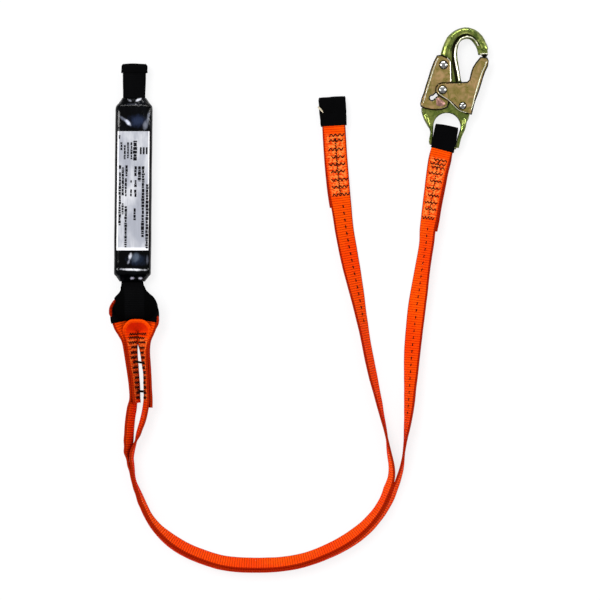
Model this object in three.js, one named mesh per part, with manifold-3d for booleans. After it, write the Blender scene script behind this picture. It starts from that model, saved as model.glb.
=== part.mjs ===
// Shock absorbing lanyard: a tear-webbing energy absorber in a shrunk film
// cover, a two-leg webbing yoke, a double-locking forged snap hook on leg A
// and a plain sewn loop on leg B. Millimetres, laid flat on z = 0, +Z up.
// The absorber stands on the -X side and runs along Y; the two legs hang from
// it in a U towards -Y and come back up on the +X side.
import * as THREE from 'three';
import { mergeVertices } from 'three/addons/utils/BufferGeometryUtils.js';
import Module from 'manifold-3d';

const { degToRad, lerp, smoothstep } = THREE.MathUtils;
const wasm = await Module();
wasm.setup();
const root = new THREE.Group();

// ------------------------------------------------------- shared dimensions
const WEB_WIDTH = 25;          // leg webbing
const WEB_THICK = 2.5;
const PLY_GAP = 0.3;           // air between two sewn plies
const SLEEVE_WALL = 0.8;       // tubular wear sleeves
const SLEEVE_CLEAR = 0.25;
const LOOP_WEB_WIDTH = 24;     // black absorber loops
const LOOP_WEB_THICK = 2;
const HOOK_Z = 11.2;           // mid-plane of the snap hook
const BAR = [156.67, 169.54];  // middle of the webbing bar in the hook's eye

const MATERIALS = {
  webbing: { color: 0xf04a0c, roughness: 0.85, metalness: 0 },
  black_fabric: { color: 0x0b0b0c, roughness: 0.95, metalness: 0 },
  tear_webbing: { color: 0xd8d4c8, roughness: 0.9, metalness: 0 },
  thread: { color: 0x1b120e, roughness: 0.9, metalness: 0 },
  film: { color: 0x14161f, roughness: 0.25, metalness: 0 },
  label: { color: 0xb4b7bb, roughness: 0.5, metalness: 0 },
  forging: { color: 0xa99a5c, roughness: 0.35, metalness: 1 },
  plate: { color: 0xb2a264, roughness: 0.3, metalness: 1 },
  rivet: { color: 0xc9c9c4, roughness: 0.25, metalness: 1 },
  spring: { color: 0x9a9da1, roughness: 0.3, metalness: 1 },
};

function addMesh(name, geometry, material) {
  const mesh = new THREE.Mesh(geometry, new THREE.MeshStandardMaterial(MATERIALS[material]));
  mesh.name = name;
  root.add(mesh);
  return mesh;
}

// ---------------------------------------------------------- mesh helpers
const vector = (x, y, z = 0) => new THREE.Vector3(x, y, z);
const pushQuad = (triangles, a, b, c, d) => triangles.push(a, b, c, a, c, d);

// closed mesh, turned to face outward by the sign of the volume it encloses
function closedMesh(points, triangles) {
  let volume = 0;
  for (let i = 0; i < triangles.length; i += 3) {
    const [a, b, c] = triangles.slice(i, i + 3).map((index) => points[index]);
    volume += a.dot(b.clone().cross(c));
  }
  if (volume < 0) {
    for (let i = 0; i < triangles.length; i += 3) {
      [triangles[i], triangles[i + 1]] = [triangles[i + 1], triangles[i]];
    }
  }
  const geometry = new THREE.BufferGeometry();
  const coordinates = points.flatMap((point) => [point.x, point.y, point.z]);
  geometry.setAttribute('position', new THREE.Float32BufferAttribute(coordinates, 3));
  geometry.setIndex(triangles);
  geometry.computeVertexNormals();
  return geometry;
}

// hollow open-ended skin through a run of { outer, inner } rings of points
function pipe(rings) {
  const count = rings[0].outer.length;
  const points = rings.flatMap(({ outer, inner }) => [...outer, ...inner]);
  const triangles = [];
  const stride = 2 * count;
  const last = stride * (rings.length - 1);
  for (let i = 0; i < rings.length - 1; i++) {
    for (let k = 0; k < count; k++) {
      const a = stride * i + k;
      const b = stride * i + (k + 1) % count;
      pushQuad(triangles, a, b, b + stride, a + stride);
      pushQuad(triangles, a + count, a + count + stride, b + count + stride, b + count);
    }
  }
  for (let k = 0; k < count; k++) {
    const next = (k + 1) % count;
    pushQuad(triangles, next, k, k + count, next + count);
    pushQuad(triangles, last + k, last + next, last + next + count, last + k + count);
  }
  return closedMesh(points, triangles);
}

// -------------------------------------------------------- webbing helpers
// A station is { c: centre, w: unit vector across, n: unit normal, width };
// stations of a leg also hold t, the unit direction of travel.
const offset = (station, across, out) => station.c.clone()
  .addScaledVector(station.w, across)
  .addScaledVector(station.n, out);

// corners of the section at a station, grown outward on every side
function sectionCorners(station, thick, grow = 0) {
  return [[-1, -1], [1, -1], [1, 1], [-1, 1]].map(([across, out]) => (
    offset(station, across * (station.width / 2 + grow), out * (thick / 2 + grow))));
}

function strap(stations, thick) {
  const points = stations.flatMap((station) => sectionCorners(station, thick));
  const triangles = [];
  const last = 4 * (stations.length - 1);
  for (let i = 0; i < last; i += 4) {
    for (let k = 0; k < 4; k++) {
      const next = (k + 1) % 4;
      pushQuad(triangles, i + k, i + next, i + 4 + next, i + 4 + k);
    }
  }
  pushQuad(triangles, 3, 2, 1, 0);
  pushQuad(triangles, last, last + 1, last + 2, last + 3);
  return closedMesh(points, triangles);
}

// open-ended flat tube round a strap
function addSleeve(name, stations, thick) {
  const rings = stations.map((station) => ({
    outer: sectionCorners(station, thick, SLEEVE_CLEAR + SLEEVE_WALL),
    inner: sectionCorners(station, thick, SLEEVE_CLEAR),
  }));
  addMesh(name, pipe(rings), 'black_fabric');
}

// running distance along a run of stations
function distances(stations) {
  const result = [0];
  for (let i = 1; i < stations.length; i++) {
    result.push(result[i - 1] + stations[i].c.distanceTo(stations[i - 1].c));
  }
  return result;
}

// centre and directions at a distance along the stations
function stationAt(stations, along, distance) {
  let i = 0;
  while (i < stations.length - 2 && along[i + 1] < distance) i++;
  const span = along[i + 1] - along[i];
  const fraction = Math.min(1, Math.max(0, (distance - along[i]) / span));
  const [from, to] = [stations[i], stations[i + 1]];
  return {
    c: from.c.clone().lerp(to.c, fraction),
    w: from.w.clone().lerp(to.w, fraction).normalize(),
    n: from.n.clone().lerp(to.n, fraction).normalize(),
  };
}

// distances along the stations of the places nearest to each given y
function distancesAtY(stations, ys) {
  const SEARCH_STEP = 0.25;
  const along = distances(stations);
  return ys.map((y) => {
    let best = 0;
    let smallest = Infinity;
    for (let distance = 0; distance <= along[along.length - 1]; distance += SEARCH_STEP) {
      const gap = Math.abs(stationAt(stations, along, distance).c.y - y);
      if (gap < smallest) {
        smallest = gap;
        best = distance;
      }
    }
    return best;
  }).sort((a, b) => a - b);
}

// --------------------------------------------------------------- stitching
const STITCH = {
  height: 0.55,      // thickness of the thread
  barHalf: 0.6,      // half length of a bar tack along the strap
  runHalf: 0.55,     // half width of the run down the middle
  overrun: 2.5,      // the run goes this far past the end bars
  endMargin: 0.3,    // stations nearer than this to an end make no cut
  edgeMargin: 0.2,   // nor do stations nearer than this to a bar's edge
};
// faces of one stitch cell. Corners are [step along, step across, top];
// next is the cell beyond a wall, which is left out where that cell is sewn
const CELL_FACES = [
  { corners: [[0, 0, 1], [1, 0, 1], [1, 1, 1], [0, 1, 1]] },
  { corners: [[0, 0, 0], [0, 1, 0], [1, 1, 0], [1, 0, 0]] },
  { next: [-1, 0], corners: [[0, 0, 0], [0, 0, 1], [0, 1, 1], [0, 1, 0]] },
  { next: [1, 0], corners: [[1, 0, 0], [1, 1, 0], [1, 1, 1], [1, 0, 1]] },
  { next: [0, -1], corners: [[0, 0, 0], [1, 0, 0], [1, 0, 1], [0, 0, 1]] },
  { next: [0, 1], corners: [[0, 1, 0], [0, 1, 1], [1, 1, 1], [1, 1, 0]] },
];

// distances where the stitching is divided: its ends, its bars, the stations
function stitchCuts(along, rows) {
  const { barHalf, overrun, endMargin, edgeMargin } = STITCH;
  const first = rows[0] - overrun;
  const last = rows[rows.length - 1] + overrun;
  const nearBarEdge = (distance) => rows.some((row) => (
    Math.abs(Math.abs(distance - row) - barHalf) < edgeMargin));
  const inner = along.filter((distance) => (
    distance > first + endMargin && distance < last - endMargin && !nearBarEdge(distance)));
  const bars = rows.flatMap((row) => [row - barHalf, row + barHalf]);
  return [first, last, ...bars, ...inner].sort((a, b) => a - b);
}

// a run of stitches down the middle of a strap with bar tacks across it at
// rowYs, on the face towards the normal (side 1) or away from it (side -1)
function addStitching(name, stations, { thick, rowYs, halfWidth, side, lift = 0.2 }) {
  const rows = distancesAtY(stations, rowYs);
  const along = distances(stations);
  const cuts = stitchCuts(along, rows);
  const acrossCuts = [-halfWidth, -STITCH.runHalf, STITCH.runHalf, halfWidth];
  const inBar = (distance) => rows.some((row) => Math.abs(distance - row) < STITCH.barHalf);
  const isSewn = (i, k) => i >= 0 && i < cuts.length - 1 && k >= 0 && k < 3
    && (k === 1 || inBar((cuts[i] + cuts[i + 1]) / 2));
  const points = [];
  const triangles = [];
  const indices = new Map();
  const pointIndex = (i, k, top) => {
    const key = `${i},${k},${top}`;
    if (!indices.has(key)) {
      const out = side * (thick / 2 + lift + top * STITCH.height);
      indices.set(key, points.length);
      points.push(offset(stationAt(stations, along, cuts[i]), acrossCuts[k], out));
    }
    return indices.get(key);
  };
  for (let i = 0; i < cuts.length - 1; i++) {
    for (let k = 0; k < 3; k++) {
      if (!isSewn(i, k)) continue;
      for (const { next, corners } of CELL_FACES) {
        if (next && isSewn(i + next[0], k + next[1])) continue;
        pushQuad(triangles, ...corners.map(([di, dk, top]) => pointIndex(i + di, k + dk, top)));
      }
    }
  }
  addMesh(name, closedMesh(points, triangles), 'thread');
}

const upperSide = (station) => (station.n.z > 0 ? 1 : -1);

// ------------------------------------------------------------------- legs
const HINGE_A = [113.47, -164.4];     // where leg A stands on edge
const HINGE_B = [95.55, -151.44];     // where leg B stands on edge
const HINGE_GAP = 1.6;                // cut back on each side of a hinge
const CREST_B = [-174.78, -28.75];    // top of leg B's loop in the yoke
const YOKE_END_B = [-165.6, -115.8];  // end of leg B's sewn limb
const EYE_WEB_WIDTH = 22.5;           // webbing where it bunches through the eye
const EYE_LOOP_HALF = 7.2;            // from the bar's axis to the middle of each ply
const FREE_LOOP_HALF = 4.4;
const TABLE_CLEAR = 0.15;             // free loop's sleeve above z = 0

// zones where centre lines are divided finer: x from, x to, y from, y to
const HOOK_ZONE = [120, 170, 79.68, 159.6];
const FREE_ZONE = [20, 60, 103.44, 188.76];
const YOKE_ZONE = [-190, -150, -112.56, -33.72];
const ZONE_DIVISIONS = 4;

// leg centre lines: x, y and the lean of the webbing in degrees. Lean 0 lies
// flat, 90 stands on its lower edge, and the upper edge leans to the right of
// the direction of travel below 90 and to the left above it.
const LEG_A = [
  [-161.28, -115.8, 78], [-161.28, -106.08, 78], [-161.6, -93.12, 79.5], [-162.03, -80.16, 80.5],
  [-163.11, -67.2, 78.5], [-164.41, -54.24, 75], [-164.3, -43.44, 70], [-162.36, -34.8, 65.5],
  [-160.09, -27.78, 62.5], [-158.79, -20.76, 61], [-158.69, -14.28, 60], [-159.77, -9.2, 60],
  [-163.01, -4.88, 60], [-167.87, -1.54, 60], [-177.05, 0.41, 60], [-186.23, -1.54, 60],
  [-191.09, -4.88, 60], [-194.33, -9.2, 60], [-195.41, -14.28, 60], [-195.19, -20.76, 61],
  [-193.14, -27.78, 62.5], [-189.36, -34.8, 65.5], [-185.36, -43.44, 69], [-183.42, -54.24, 69],
  [-181.8, -67.2, 71], [-180.18, -80.16, 73], [-178.77, -93.12, 74.5], [-178.45, -106.08, 75.5],
  [-179.96, -115.8, 76], [-181.47, -125.52, 75.5], [-182.23, -132, 74], [-182.77, -138.48, 74],
  [-183.2, -144.96, 75], [-183.63, -151.44, 77], [-183.96, -157.92, 83], [-185.35, -164.4, 88],
  [-184.76, -171.05, 90], [-183.65, -177.81, 90], [-181.49, -184.19, 90], [-180.2, -190.65, 90],
  [-178.54, -197.27, 90], [-176.85, -204.06, 91], [-174.65, -210.69, 92],
  [-172.75, -217.44, 92.5], [-169.78, -224.04, 93], [-166.79, -230.71, 93],
  [-163.16, -237.53, 93], [-158.78, -244.52, 94], [-153.13, -251.72, 94], [-146.07, -259.06, 95],
  [-137.61, -266.32, 95], [-126.13, -273.65, 95], [-111.53, -280.57, 95], [-89.28, -288.02, 95],
  [-70.1, -291.63, 94], [-52.24, -292.53, 94], [-34.63, -292.36, 94], [-20.02, -291.41, 94],
  [1.09, -287.85, 94.5], [17.94, -282.75, 95], [32.41, -276.91, 96], [44.68, -271.17, 96.5],
  [55.85, -264.85, 97], [64.79, -258.56, 98], [72.55, -252.01, 98.5], [79.19, -245.33, 99],
  [84.8, -238.78, 99], [90.01, -231.99, 99], [94.13, -225.09, 100], [97.89, -218.22, 101],
  [100.77, -211.73, 102], [103.65, -203.28, 102], [106.24, -196.8, 100.5], [108.4, -190.32, 99],
  [110.34, -183.84, 97.5], [111.75, -177.36, 95], [112.72, -170.88, 92.5], [113.47, -164.4, 91],
  [114.23, -157.92, 89], [115.09, -151.44, 87], [115.96, -144.96, 84], [116.82, -138.48, 80],
  [117.58, -132, 77], [118.23, -125.52, 74], [118.77, -119.04, 70.5], [119.31, -112.56, 68],
  [119.74, -106.08, 66], [120.39, -93.12, 62], [121.14, -80.16, 57], [121.79, -67.2, 52.5],
  [122.65, -54.24, 48.5], [123.95, -41.28, 46], [125.25, -28.32, 44.5], [126.65, -15.36, 43],
  [128.27, -2.4, 43.5], [130.21, 10.56, 46], [132.05, 23.52, 49.5], [133.99, 36.48, 52.5],
  [136.15, 49.44, 54.5], [138.21, 62.4, 54], [140.15, 75.36, 50], [142.09, 88.32, 45.5],
  [143.93, 101.28, 43], [145.98, 114.24, 39], [148.03, 127.2, 34], [150.09, 140.16, 29],
  [152.25, 150.96, 21], [154.41, 160.68, 9], [155.7, 164.46, 1.5], [...BAR, 0],
  [158.46, 179.36, 0],
];
const LEG_B = [
  [-174.89, -110.94, 104.3], [-174.99, -106.08, 104.3], [-175.43, -93.12, 105.5],
  [-176.51, -80.16, 107], [-178.02, -67.2, 108.5], [-179.53, -54.24, 109],
  [-181.04, -43.44, 108], [-181.47, -36.42, 106], [-179.64, -31.34, 105], [...CREST_B, 105],
  [-169.7, -31.13, 105], [-167.76, -36.42, 105], [-168.3, -43.44, 106], [-168.19, -54.24, 104.3],
  [-166.89, -67.2, 101], [-165.49, -80.16, 99.5], [-164.95, -93.12, 100.5],
  [-164.84, -106.08, 102], [...YOKE_END_B, 102], [-167.11, -125.52, 102], [-168.3, -132, 101],
  [-169.81, -138.48, 99.5], [-171.21, -144.96, 98], [-173.05, -151.44, 91.5],
  [-174.99, -157.92, 87], [-176.73, -164.4, 84], [-177.65, -170.76, 84.5],
  [-177.46, -177.03, 85.5], [-177.13, -183.58, 87], [-176.7, -190.06, 88],
  [-175.54, -196.45, 88], [-173.11, -202.72, 86], [-170.43, -209.1, 84.5],
  [-167.97, -215.49, 82], [-164.99, -221.85, 82], [-161.91, -228.19, 82],
  [-158.41, -234.56, 80.5], [-154.02, -240.79, 78.5], [-148.46, -247.05, 76],
  [-141.28, -253.27, 72], [-133, -259.57, 69.3], [-122.24, -266.26, 68],
  [-108.48, -272.53, 66.5], [-87.16, -279.66, 65.5], [-69.13, -282.69, 64],
  [-52.04, -283.54, 64], [-34.87, -283.49, 64], [-21.03, -282.72, 65], [-0.76, -279.34, 66.5],
  [15.12, -274.52, 67.6], [28.91, -268.82, 67.6], [40.6, -263.24, 67], [51.15, -257.17, 67.5],
  [59.47, -251.31, 68.5], [66.74, -245.33, 70], [72.92, -239.27, 71.5], [78.02, -233.22, 72.8],
  [82.62, -226.82, 74], [86.41, -220.46, 75], [89.65, -214.1, 76], [92, -207.95, 76],
  [93.71, -203.28, 74], [95.87, -196.8, 75.5], [97.17, -190.32, 77.5], [97.6, -183.84, 79],
  [97.6, -177.36, 80.5], [97.27, -170.88, 82], [96.84, -164.4, 84], [96.3, -157.92, 86.5],
  [95.55, -151.44, 89.5], [94.36, -144.96, 92], [93.06, -138.48, 93.5], [91.55, -132, 95],
  [90.04, -125.52, 97], [88.63, -119.04, 99], [87.23, -112.56, 101], [85.72, -106.08, 102.5],
  [82.69, -93.12, 105.5], [79.67, -80.16, 108.5], [76.86, -67.2, 109.5], [74.27, -54.24, 109.5],
  [71.79, -41.28, 110.5], [69.41, -28.32, 113], [66.93, -15.36, 117], [64.55, -2.4, 121.5],
  [61.96, 10.56, 127], [59.26, 23.52, 132.5], [56.56, 36.48, 137], [53.97, 49.44, 140],
  [51.59, 62.4, 141.5], [49.32, 75.36, 142.5], [47.16, 88.32, 145], [45.22, 101.28, 150],
  [43.6, 114.24, 157.5], [42.3, 127.2, 164], [41.11, 140.16, 169], [40.03, 153.12, 172.5],
  [39.17, 166.08, 175], [38.41, 179.04, 178], [37.77, 189.84, 180], [36.9, 202.8, 180],
  [36.25, 213.06, 180],
];

// divide the spans of a centre line that lie wholly inside one of the zones
function refine(table, zones) {
  return table.flatMap((row, i) => {
    const next = table[i + 1];
    const inside = ([x, y], [x0, x1, y0, y1]) => x > x0 && x < x1 && y > y0 && y < y1;
    if (!next || !zones.some((zone) => inside(row, zone) && inside(next, zone))) return [row];
    return Array.from({ length: ZONE_DIVISIONS }, (_, k) => (
      row.map((value, j) => value + (next[j] - value) * k / ZONE_DIVISIONS)));
  });
}

// the absorber's loop passes under leg A's crest, so the crest is raised
const crestLift = (x, y) => (x < -140 ? 4.2 * smoothstep(y, -49, -20) : 0);

// stations of a leg resting on z = 0, from its centre line
function legStations(table, lift = () => 0) {
  return table.map(([x, y, lean], i) => {
    const before = table[Math.max(0, i - 1)];
    const after = table[Math.min(table.length - 1, i + 1)];
    const t = vector(after[0] - before[0], after[1] - before[1]).normalize();
    const right = vector(t.y, -t.x);
    const cos = Math.cos(degToRad(lean));
    const sin = Math.sin(degToRad(lean));
    const z = WEB_WIDTH / 2 * sin + WEB_THICK / 2 * Math.abs(cos) + lift(x, y);
    return {
      c: vector(x, y, z),
      w: right.clone().multiplyScalar(cos).add(vector(0, 0, sin)),
      n: right.clone().multiplyScalar(-sin).add(vector(0, 0, cos)),
      width: WEB_WIDTH,
      t,
    };
  });
}

function nearestIndex(stations, [x, y]) {
  const gaps = stations.map(({ c }) => Math.hypot(c.x - x, c.y - y));
  return gaps.indexOf(Math.min(...gaps));
}

// split a leg in two at its hinge, leaving a gap
function splitAtHinge(stations, hinge) {
  const index = nearestIndex(stations, hinge);
  const station = stations[index];
  const end = (sign) => ({
    ...station,
    c: station.c.clone().addScaledVector(station.t, sign * HINGE_GAP),
  });
  return [[...stations.slice(0, index), end(-1)], [end(1), ...stations.slice(index + 1)]];
}

// Folded end of a leg: main ply on top, loop, tail ply below as far as tailY.
// half: from the loop's axis to each ply; bendZ: height of that axis.
// separate and rise: where the plies part and the axis climbs to bendZ, as
// [from, to] distances ahead of the last station, so negative before it.
function foldedEnd(stations, options) {
  const { tailY, half, bendZ, separate, rise, turnSteps, widthAt = () => WEB_WIDTH } = options;
  const closedHalf = (WEB_THICK + PLY_GAP) / 2;
  const end = stations[stations.length - 1];
  const upNormal = (station) => station.n.clone().multiplyScalar(station.n.z >= 0 ? 1 : -1);
  const main = [];
  const tail = [];
  for (const station of stations) {
    const ahead = station.c.clone().sub(end.c).dot(end.t);
    const up = upNormal(station);
    // 0 where the leg is one ply, 1 where the tail ply lies below
    const doubled = smoothstep(station.c.y, tailY - 14, tailY - 3);
    const spread = lerp(closedHalf, half, smoothstep(ahead, ...separate));
    const c = station.c.clone();
    c.z = lerp(c.z + up.z * closedHalf * doubled, bendZ, smoothstep(ahead, ...rise));
    const width = widthAt(ahead);
    main.push({ ...station, c: c.clone().addScaledVector(up, spread * doubled), width });
    if (station.c.y > tailY) {
      const n = station.n.clone().negate();
      tail.unshift({ ...station, c: c.addScaledVector(up, -spread), n, width });
    }
  }
  const last = main[main.length - 1];
  const endUp = upNormal(end);
  const centre = last.c.clone().addScaledVector(endUp, -half);
  const bend = [];
  for (let i = 1; i < turnSteps; i++) {
    const angle = Math.PI * i / turnSteps;
    const out = endUp.clone().multiplyScalar(Math.cos(angle))
      .addScaledVector(end.t, Math.sin(angle));
    const n = end.n.z >= 0 ? out : out.clone().negate();
    bend.push({ ...last, c: centre.clone().addScaledVector(out, half), n });
  }
  return { all: [...main, ...bend, ...tail], main };
}

const legA = legStations(refine(LEG_A, [HOOK_ZONE]), crestLift);
const legB = legStations(refine(LEG_B, [FREE_ZONE, YOKE_ZONE]));
const [lowerA, upperA] = splitAtHinge(legA, HINGE_A);
const [lowerB, upperB] = splitAtHinge(legB, HINGE_B);
const endA = foldedEnd(upperA, {
  tailY: 74.28,
  half: EYE_LOOP_HALF,
  bendZ: HOOK_Z,
  separate: [-32, -13],
  rise: [-74, -18],
  turnSteps: 10,
  widthAt: (ahead) => lerp(WEB_WIDTH, EYE_WEB_WIDTH, smoothstep(ahead, -30, -19)),
});
const endB = foldedEnd(upperB, {
  tailY: 96.96,
  half: FREE_LOOP_HALF,
  bendZ: FREE_LOOP_HALF + WEB_THICK / 2 + SLEEVE_CLEAR + SLEEVE_WALL + TABLE_CLEAR,
  separate: [-42, -27],
  rise: [-60, -27],
  turnSteps: 8,
});
const beyondY = (stations, y) => stations.filter((station) => station.c.y > y);

addMesh('leg_a_lower_webbing', strap(lowerA, WEB_THICK), 'webbing');
addMesh('leg_b_lower_webbing', strap(lowerB, WEB_THICK), 'webbing');
addMesh('leg_a_upper_webbing', strap(endA.all, WEB_THICK), 'webbing');
addMesh('leg_b_upper_webbing', strap(endB.all, WEB_THICK), 'webbing');
addSleeve('hook_end_wear_sleeve', beyondY(endA.all, 162.84), WEB_THICK);
addSleeve('free_end_wear_sleeve', beyondY(endB.all, 187.68), WEB_THICK);

addStitching('hook_end_stitching', endA.main, {
  thick: WEB_THICK,
  rowYs: [147.72, 143.4, 136.92, 128.28, 120.72, 113.16, 105.6, 98.04, 88.32],
  halfWidth: 8.4,
  side: 1,
  lift: 0.35,
});
addStitching('free_end_stitching', endB.main, {
  thick: WEB_THICK,
  rowYs: [178.5, 172.56, 162.84, 155.28, 146.64, 139.08, 130.44, 122.88, 114.24],
  halfWidth: 9.5,
  side: -1,
});

// yoke: leg B's two limbs are sewn to leg A's inside the loop
function addYokeStitching() {
  const crest = nearestIndex(legB, CREST_B);
  const limbs = {
    yoke_left_stitching: lowerB.slice(0, crest - 1),
    yoke_right_stitching: lowerB.slice(crest + 2, nearestIndex(legB, YOKE_END_B)),
  };
  const rowYs = [
    -44.52, -49.92, -55.32, -60.72, -71.52, -76.92, -82.32, -87.72, -93.12, -103.92,
  ];
  for (const [name, limb] of Object.entries(limbs)) {
    addStitching(name, limb, { thick: WEB_THICK, rowYs, halfWidth: 8, side: upperSide(limb[0]) });
  }
}
addYokeStitching();

// over leg A's crest, inside the absorber's loop
addSleeve('interlink_wear_sleeve', beyondY(lowerA, -23.46), WEB_THICK);

// ---------------------------------------------------------------- absorber
const PACK_MID_Z = 11.2;
const PACK_HALF_WIDTH = 20;
const PACK_HALF_HEIGHT = 11;
const PACK_CORNER = 6;
const FILM_WALL = 0.7;
const LABEL = { width: 34.5, thick: 0.3, lift: 0.35, ys: [182.28, 118.56, 53.76] };
const PACK_TOP = { x: -177.91, y: 199.56 };     // two points on the pack's centre line
const PACK_BOTTOM = { x: -179.53, y: 32.16 };
const CREST_X = -177.05;                        // centre of the lower loop at the crest
const TAIL_HALF_GAP = 1.4;                      // mid-plane to each sewn tail's middle
const TAIL_END_Y = 217.6;
const TAIL_BEND = { straightY: 207.12, y: 198.48 };
const HARNESS_BEND = { y: 248.81, radius: 4.4 };

// film cover: y, half width, half height
const FILM_SECTIONS = [
  [218.46, 12.6, 4.7], [216.3, 15.2, 6.4], [212.52, 18.0, 8.8], [207.12, 19.5, 10.6],
  [PACK_TOP.y, PACK_HALF_WIDTH, PACK_HALF_HEIGHT], [38.64, PACK_HALF_WIDTH, PACK_HALF_HEIGHT],
  [31.08, 19.4, 10.5], [26.22, 17.2, 8.4], [22.87, 14.8, 6.6], [20.28, 13.8, 5.5],
];
// one limb of the harness loop: y, distance from the mid-plane
const HARNESS_LIMB = [
  [220.62, 1.2], [225.48, 1.9], [233.04, 3.2], [241.68, 4.2], [245.46, HARNESS_BEND.radius],
];
// lower loop: y, z, width. Out of the cover, over leg A's sleeved crest, down
// inside and back under
const LOWER_LOOP = [
  [38.64, 12.6, 24], [30, 12.65, 24], [23.52, 12.65, 23.5], [19.63, 13.1, 23.5],
  [15.96, 18, 24.5], [13.37, 23.6, 26.5], [10.78, 28, 28.5], [7.32, 30.6, 30.5],
  [2.46, 31.4, 32], [-2.94, 30.8, 32], [-8.34, 28.2, 31], [-12.66, 24.2, 28],
  [-16.44, 19, 24.5], [-19.25, 13.5, 20.5], [-20.33, 9, 18], [-20, 5.2, 17],
  [-18.06, 2.6, 17], [-14.28, 1.4, 18], [-5.64, 1.25, 20], [4.08, 1.25, 23],
  [10.56, 2.1, 23.5], [15.96, 5.8, 23.5], [20.28, 9.1, 23.5], [24.6, 9.7, 23.5],
  [30, 9.8, 24], [38.64, 9.8, 24],
];

const packX = (y) => lerp(PACK_TOP.x, PACK_BOTTOM.x, (PACK_TOP.y - y) / (PACK_TOP.y - PACK_BOTTOM.y));
const lowerLoopX = (y) => lerp(CREST_X, packX(y), smoothstep(y, 3, 20.28));

// stations from a path of [y, z] or [y, z, width], lying flat across X
function pathStations(path, { width: commonWidth, midX = packX } = {}) {
  return path.map(([y, z, width = commonWidth], i) => {
    const before = path[Math.max(0, i - 1)];
    const after = path[Math.min(path.length - 1, i + 1)];
    const t = vector(0, after[0] - before[0], after[1] - before[1]).normalize();
    return { c: vector(midX(y), y, z), w: vector(1, 0), n: vector(0, -t.z, t.y), width };
  });
}

// arc of [y, z] points; angles in degrees from +Y towards +Z
function arcYZ(y, z, radius, from, to, steps) {
  return Array.from({ length: steps + 1 }, (_, i) => {
    const angle = degToRad(from + (to - from) * i / steps);
    return [y + radius * Math.cos(angle), z + radius * Math.sin(angle)];
  });
}

// rounded rectangle section of the film cover
function filmSection(y, halfWidth, halfHeight, inset) {
  const radius = Math.max(0.6, Math.min(PACK_CORNER, halfHeight * 0.92) - inset);
  const cornerX = halfWidth - inset - radius;
  const cornerZ = halfHeight - inset - radius;
  const points = [];
  for (const [i, [sideX, sideZ]] of [[1, 1], [-1, 1], [-1, -1], [1, -1]].entries()) {
    for (let k = 0; k <= 4; k++) {
      const angle = degToRad(i * 90 + k * 22.5);
      const x = packX(y) + sideX * cornerX + radius * Math.cos(angle);
      points.push(vector(x, y, PACK_MID_Z + sideZ * cornerZ + radius * Math.sin(angle)));
    }
  }
  return points;
}

function addFilmCover() {
  const rings = FILM_SECTIONS.map((section) => ({
    outer: filmSection(...section, 0),
    inner: filmSection(...section, FILM_WALL),
  }));
  addMesh('absorber_film_cover', pipe(rings), 'film');
}

function addLabel() {
  const stations = LABEL.ys.map((y) => ({
    c: vector(packX(y), y, PACK_MID_Z + PACK_HALF_HEIGHT + LABEL.lift),
    w: vector(1, 0),
    n: vector(0, 0, 1),
    width: LABEL.width,
  }));
  addMesh('absorber_label', strap(stations, LABEL.thick), 'label');
}

// strap folded back and forth between y0 and y1, in layers upward from z0
function addFoldedStrap(name, { layers, pitch, z0, y0, y1, width, thick }) {
  const path = [[y0, z0]];
  for (let i = 0; i < layers; i++) {
    const z = z0 + pitch * i;
    const endY = i % 2 ? y0 : y1;
    path.push([endY, z]);
    if (i < layers - 1) {
      path.push(...arcYZ(endY, z + pitch / 2, pitch / 2, i % 2 ? 270 : -90, 90, 6).slice(1));
    }
  }
  addMesh(name, strap(pathStations(path, { width }), thick), 'tear_webbing');
}

// sewn tails of the harness loop, inside the cover's +Y mouth
function addHarnessTails() {
  const [high, low] = [PACK_MID_Z + TAIL_HALF_GAP, PACK_MID_Z - TAIL_HALF_GAP];
  const tails = pathStations([
    [TAIL_END_Y, high],
    [TAIL_BEND.straightY, high],
    ...arcYZ(TAIL_BEND.y, PACK_MID_Z, TAIL_HALF_GAP, 90, 270, 6),
    [TAIL_BEND.straightY, low],
    [TAIL_END_Y, low],
  ], { width: LOOP_WEB_WIDTH });
  addMesh('harness_loop_tails', strap(tails, LOOP_WEB_THICK), 'black_fabric');
  addStitching('harness_loop_stitching', tails.slice(0, 3), {
    thick: LOOP_WEB_THICK,
    rowYs: [213.6, 210.36, 207.12, 203.88],
    halfWidth: 9,
    side: upperSide(tails[1]),
  });
}

// harness loop beyond the cover, and the wear sleeve over its bend
function addHarnessLoop() {
  const limb = (side) => HARNESS_LIMB.map(([y, gap]) => [y, PACK_MID_Z + side * gap]);
  const loop = pathStations([
    ...limb(1),
    ...arcYZ(HARNESS_BEND.y, PACK_MID_Z, HARNESS_BEND.radius, 90, -90, 8),
    ...limb(-1).reverse(),
  ], { width: LOOP_WEB_WIDTH });
  addMesh('harness_loop_webbing', strap(loop, LOOP_WEB_THICK), 'black_fabric');
  addSleeve('harness_loop_wear_sleeve', beyondY(loop, 245.35), LOOP_WEB_THICK);
}

function addLowerLoop() {
  const loop = pathStations(LOWER_LOOP, { midX: lowerLoopX });
  addMesh('lower_loop_webbing', strap(loop, LOOP_WEB_THICK), 'black_fabric');
  addStitching('lower_loop_stitching', loop.slice(0, 3), {
    thick: LOOP_WEB_THICK,
    rowYs: [35.4, 32.16, 28.92],
    halfWidth: 9,
    side: upperSide(loop[1]),
  });
}

addFilmCover();
addLabel();
addFoldedStrap('tear_webbing', {
  layers: 5, pitch: 3, z0: 6.6, y0: 49.44, y1: 190.92, width: 35, thick: 2.1,
});
addFoldedStrap('backup_strap', {
  layers: 2, pitch: 1.6, z0: 2.3, y0: 51.6, y1: 188.76, width: 30, thick: 0.9,
});
addHarnessTails();
addHarnessLoop();
addLowerLoop();

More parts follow.
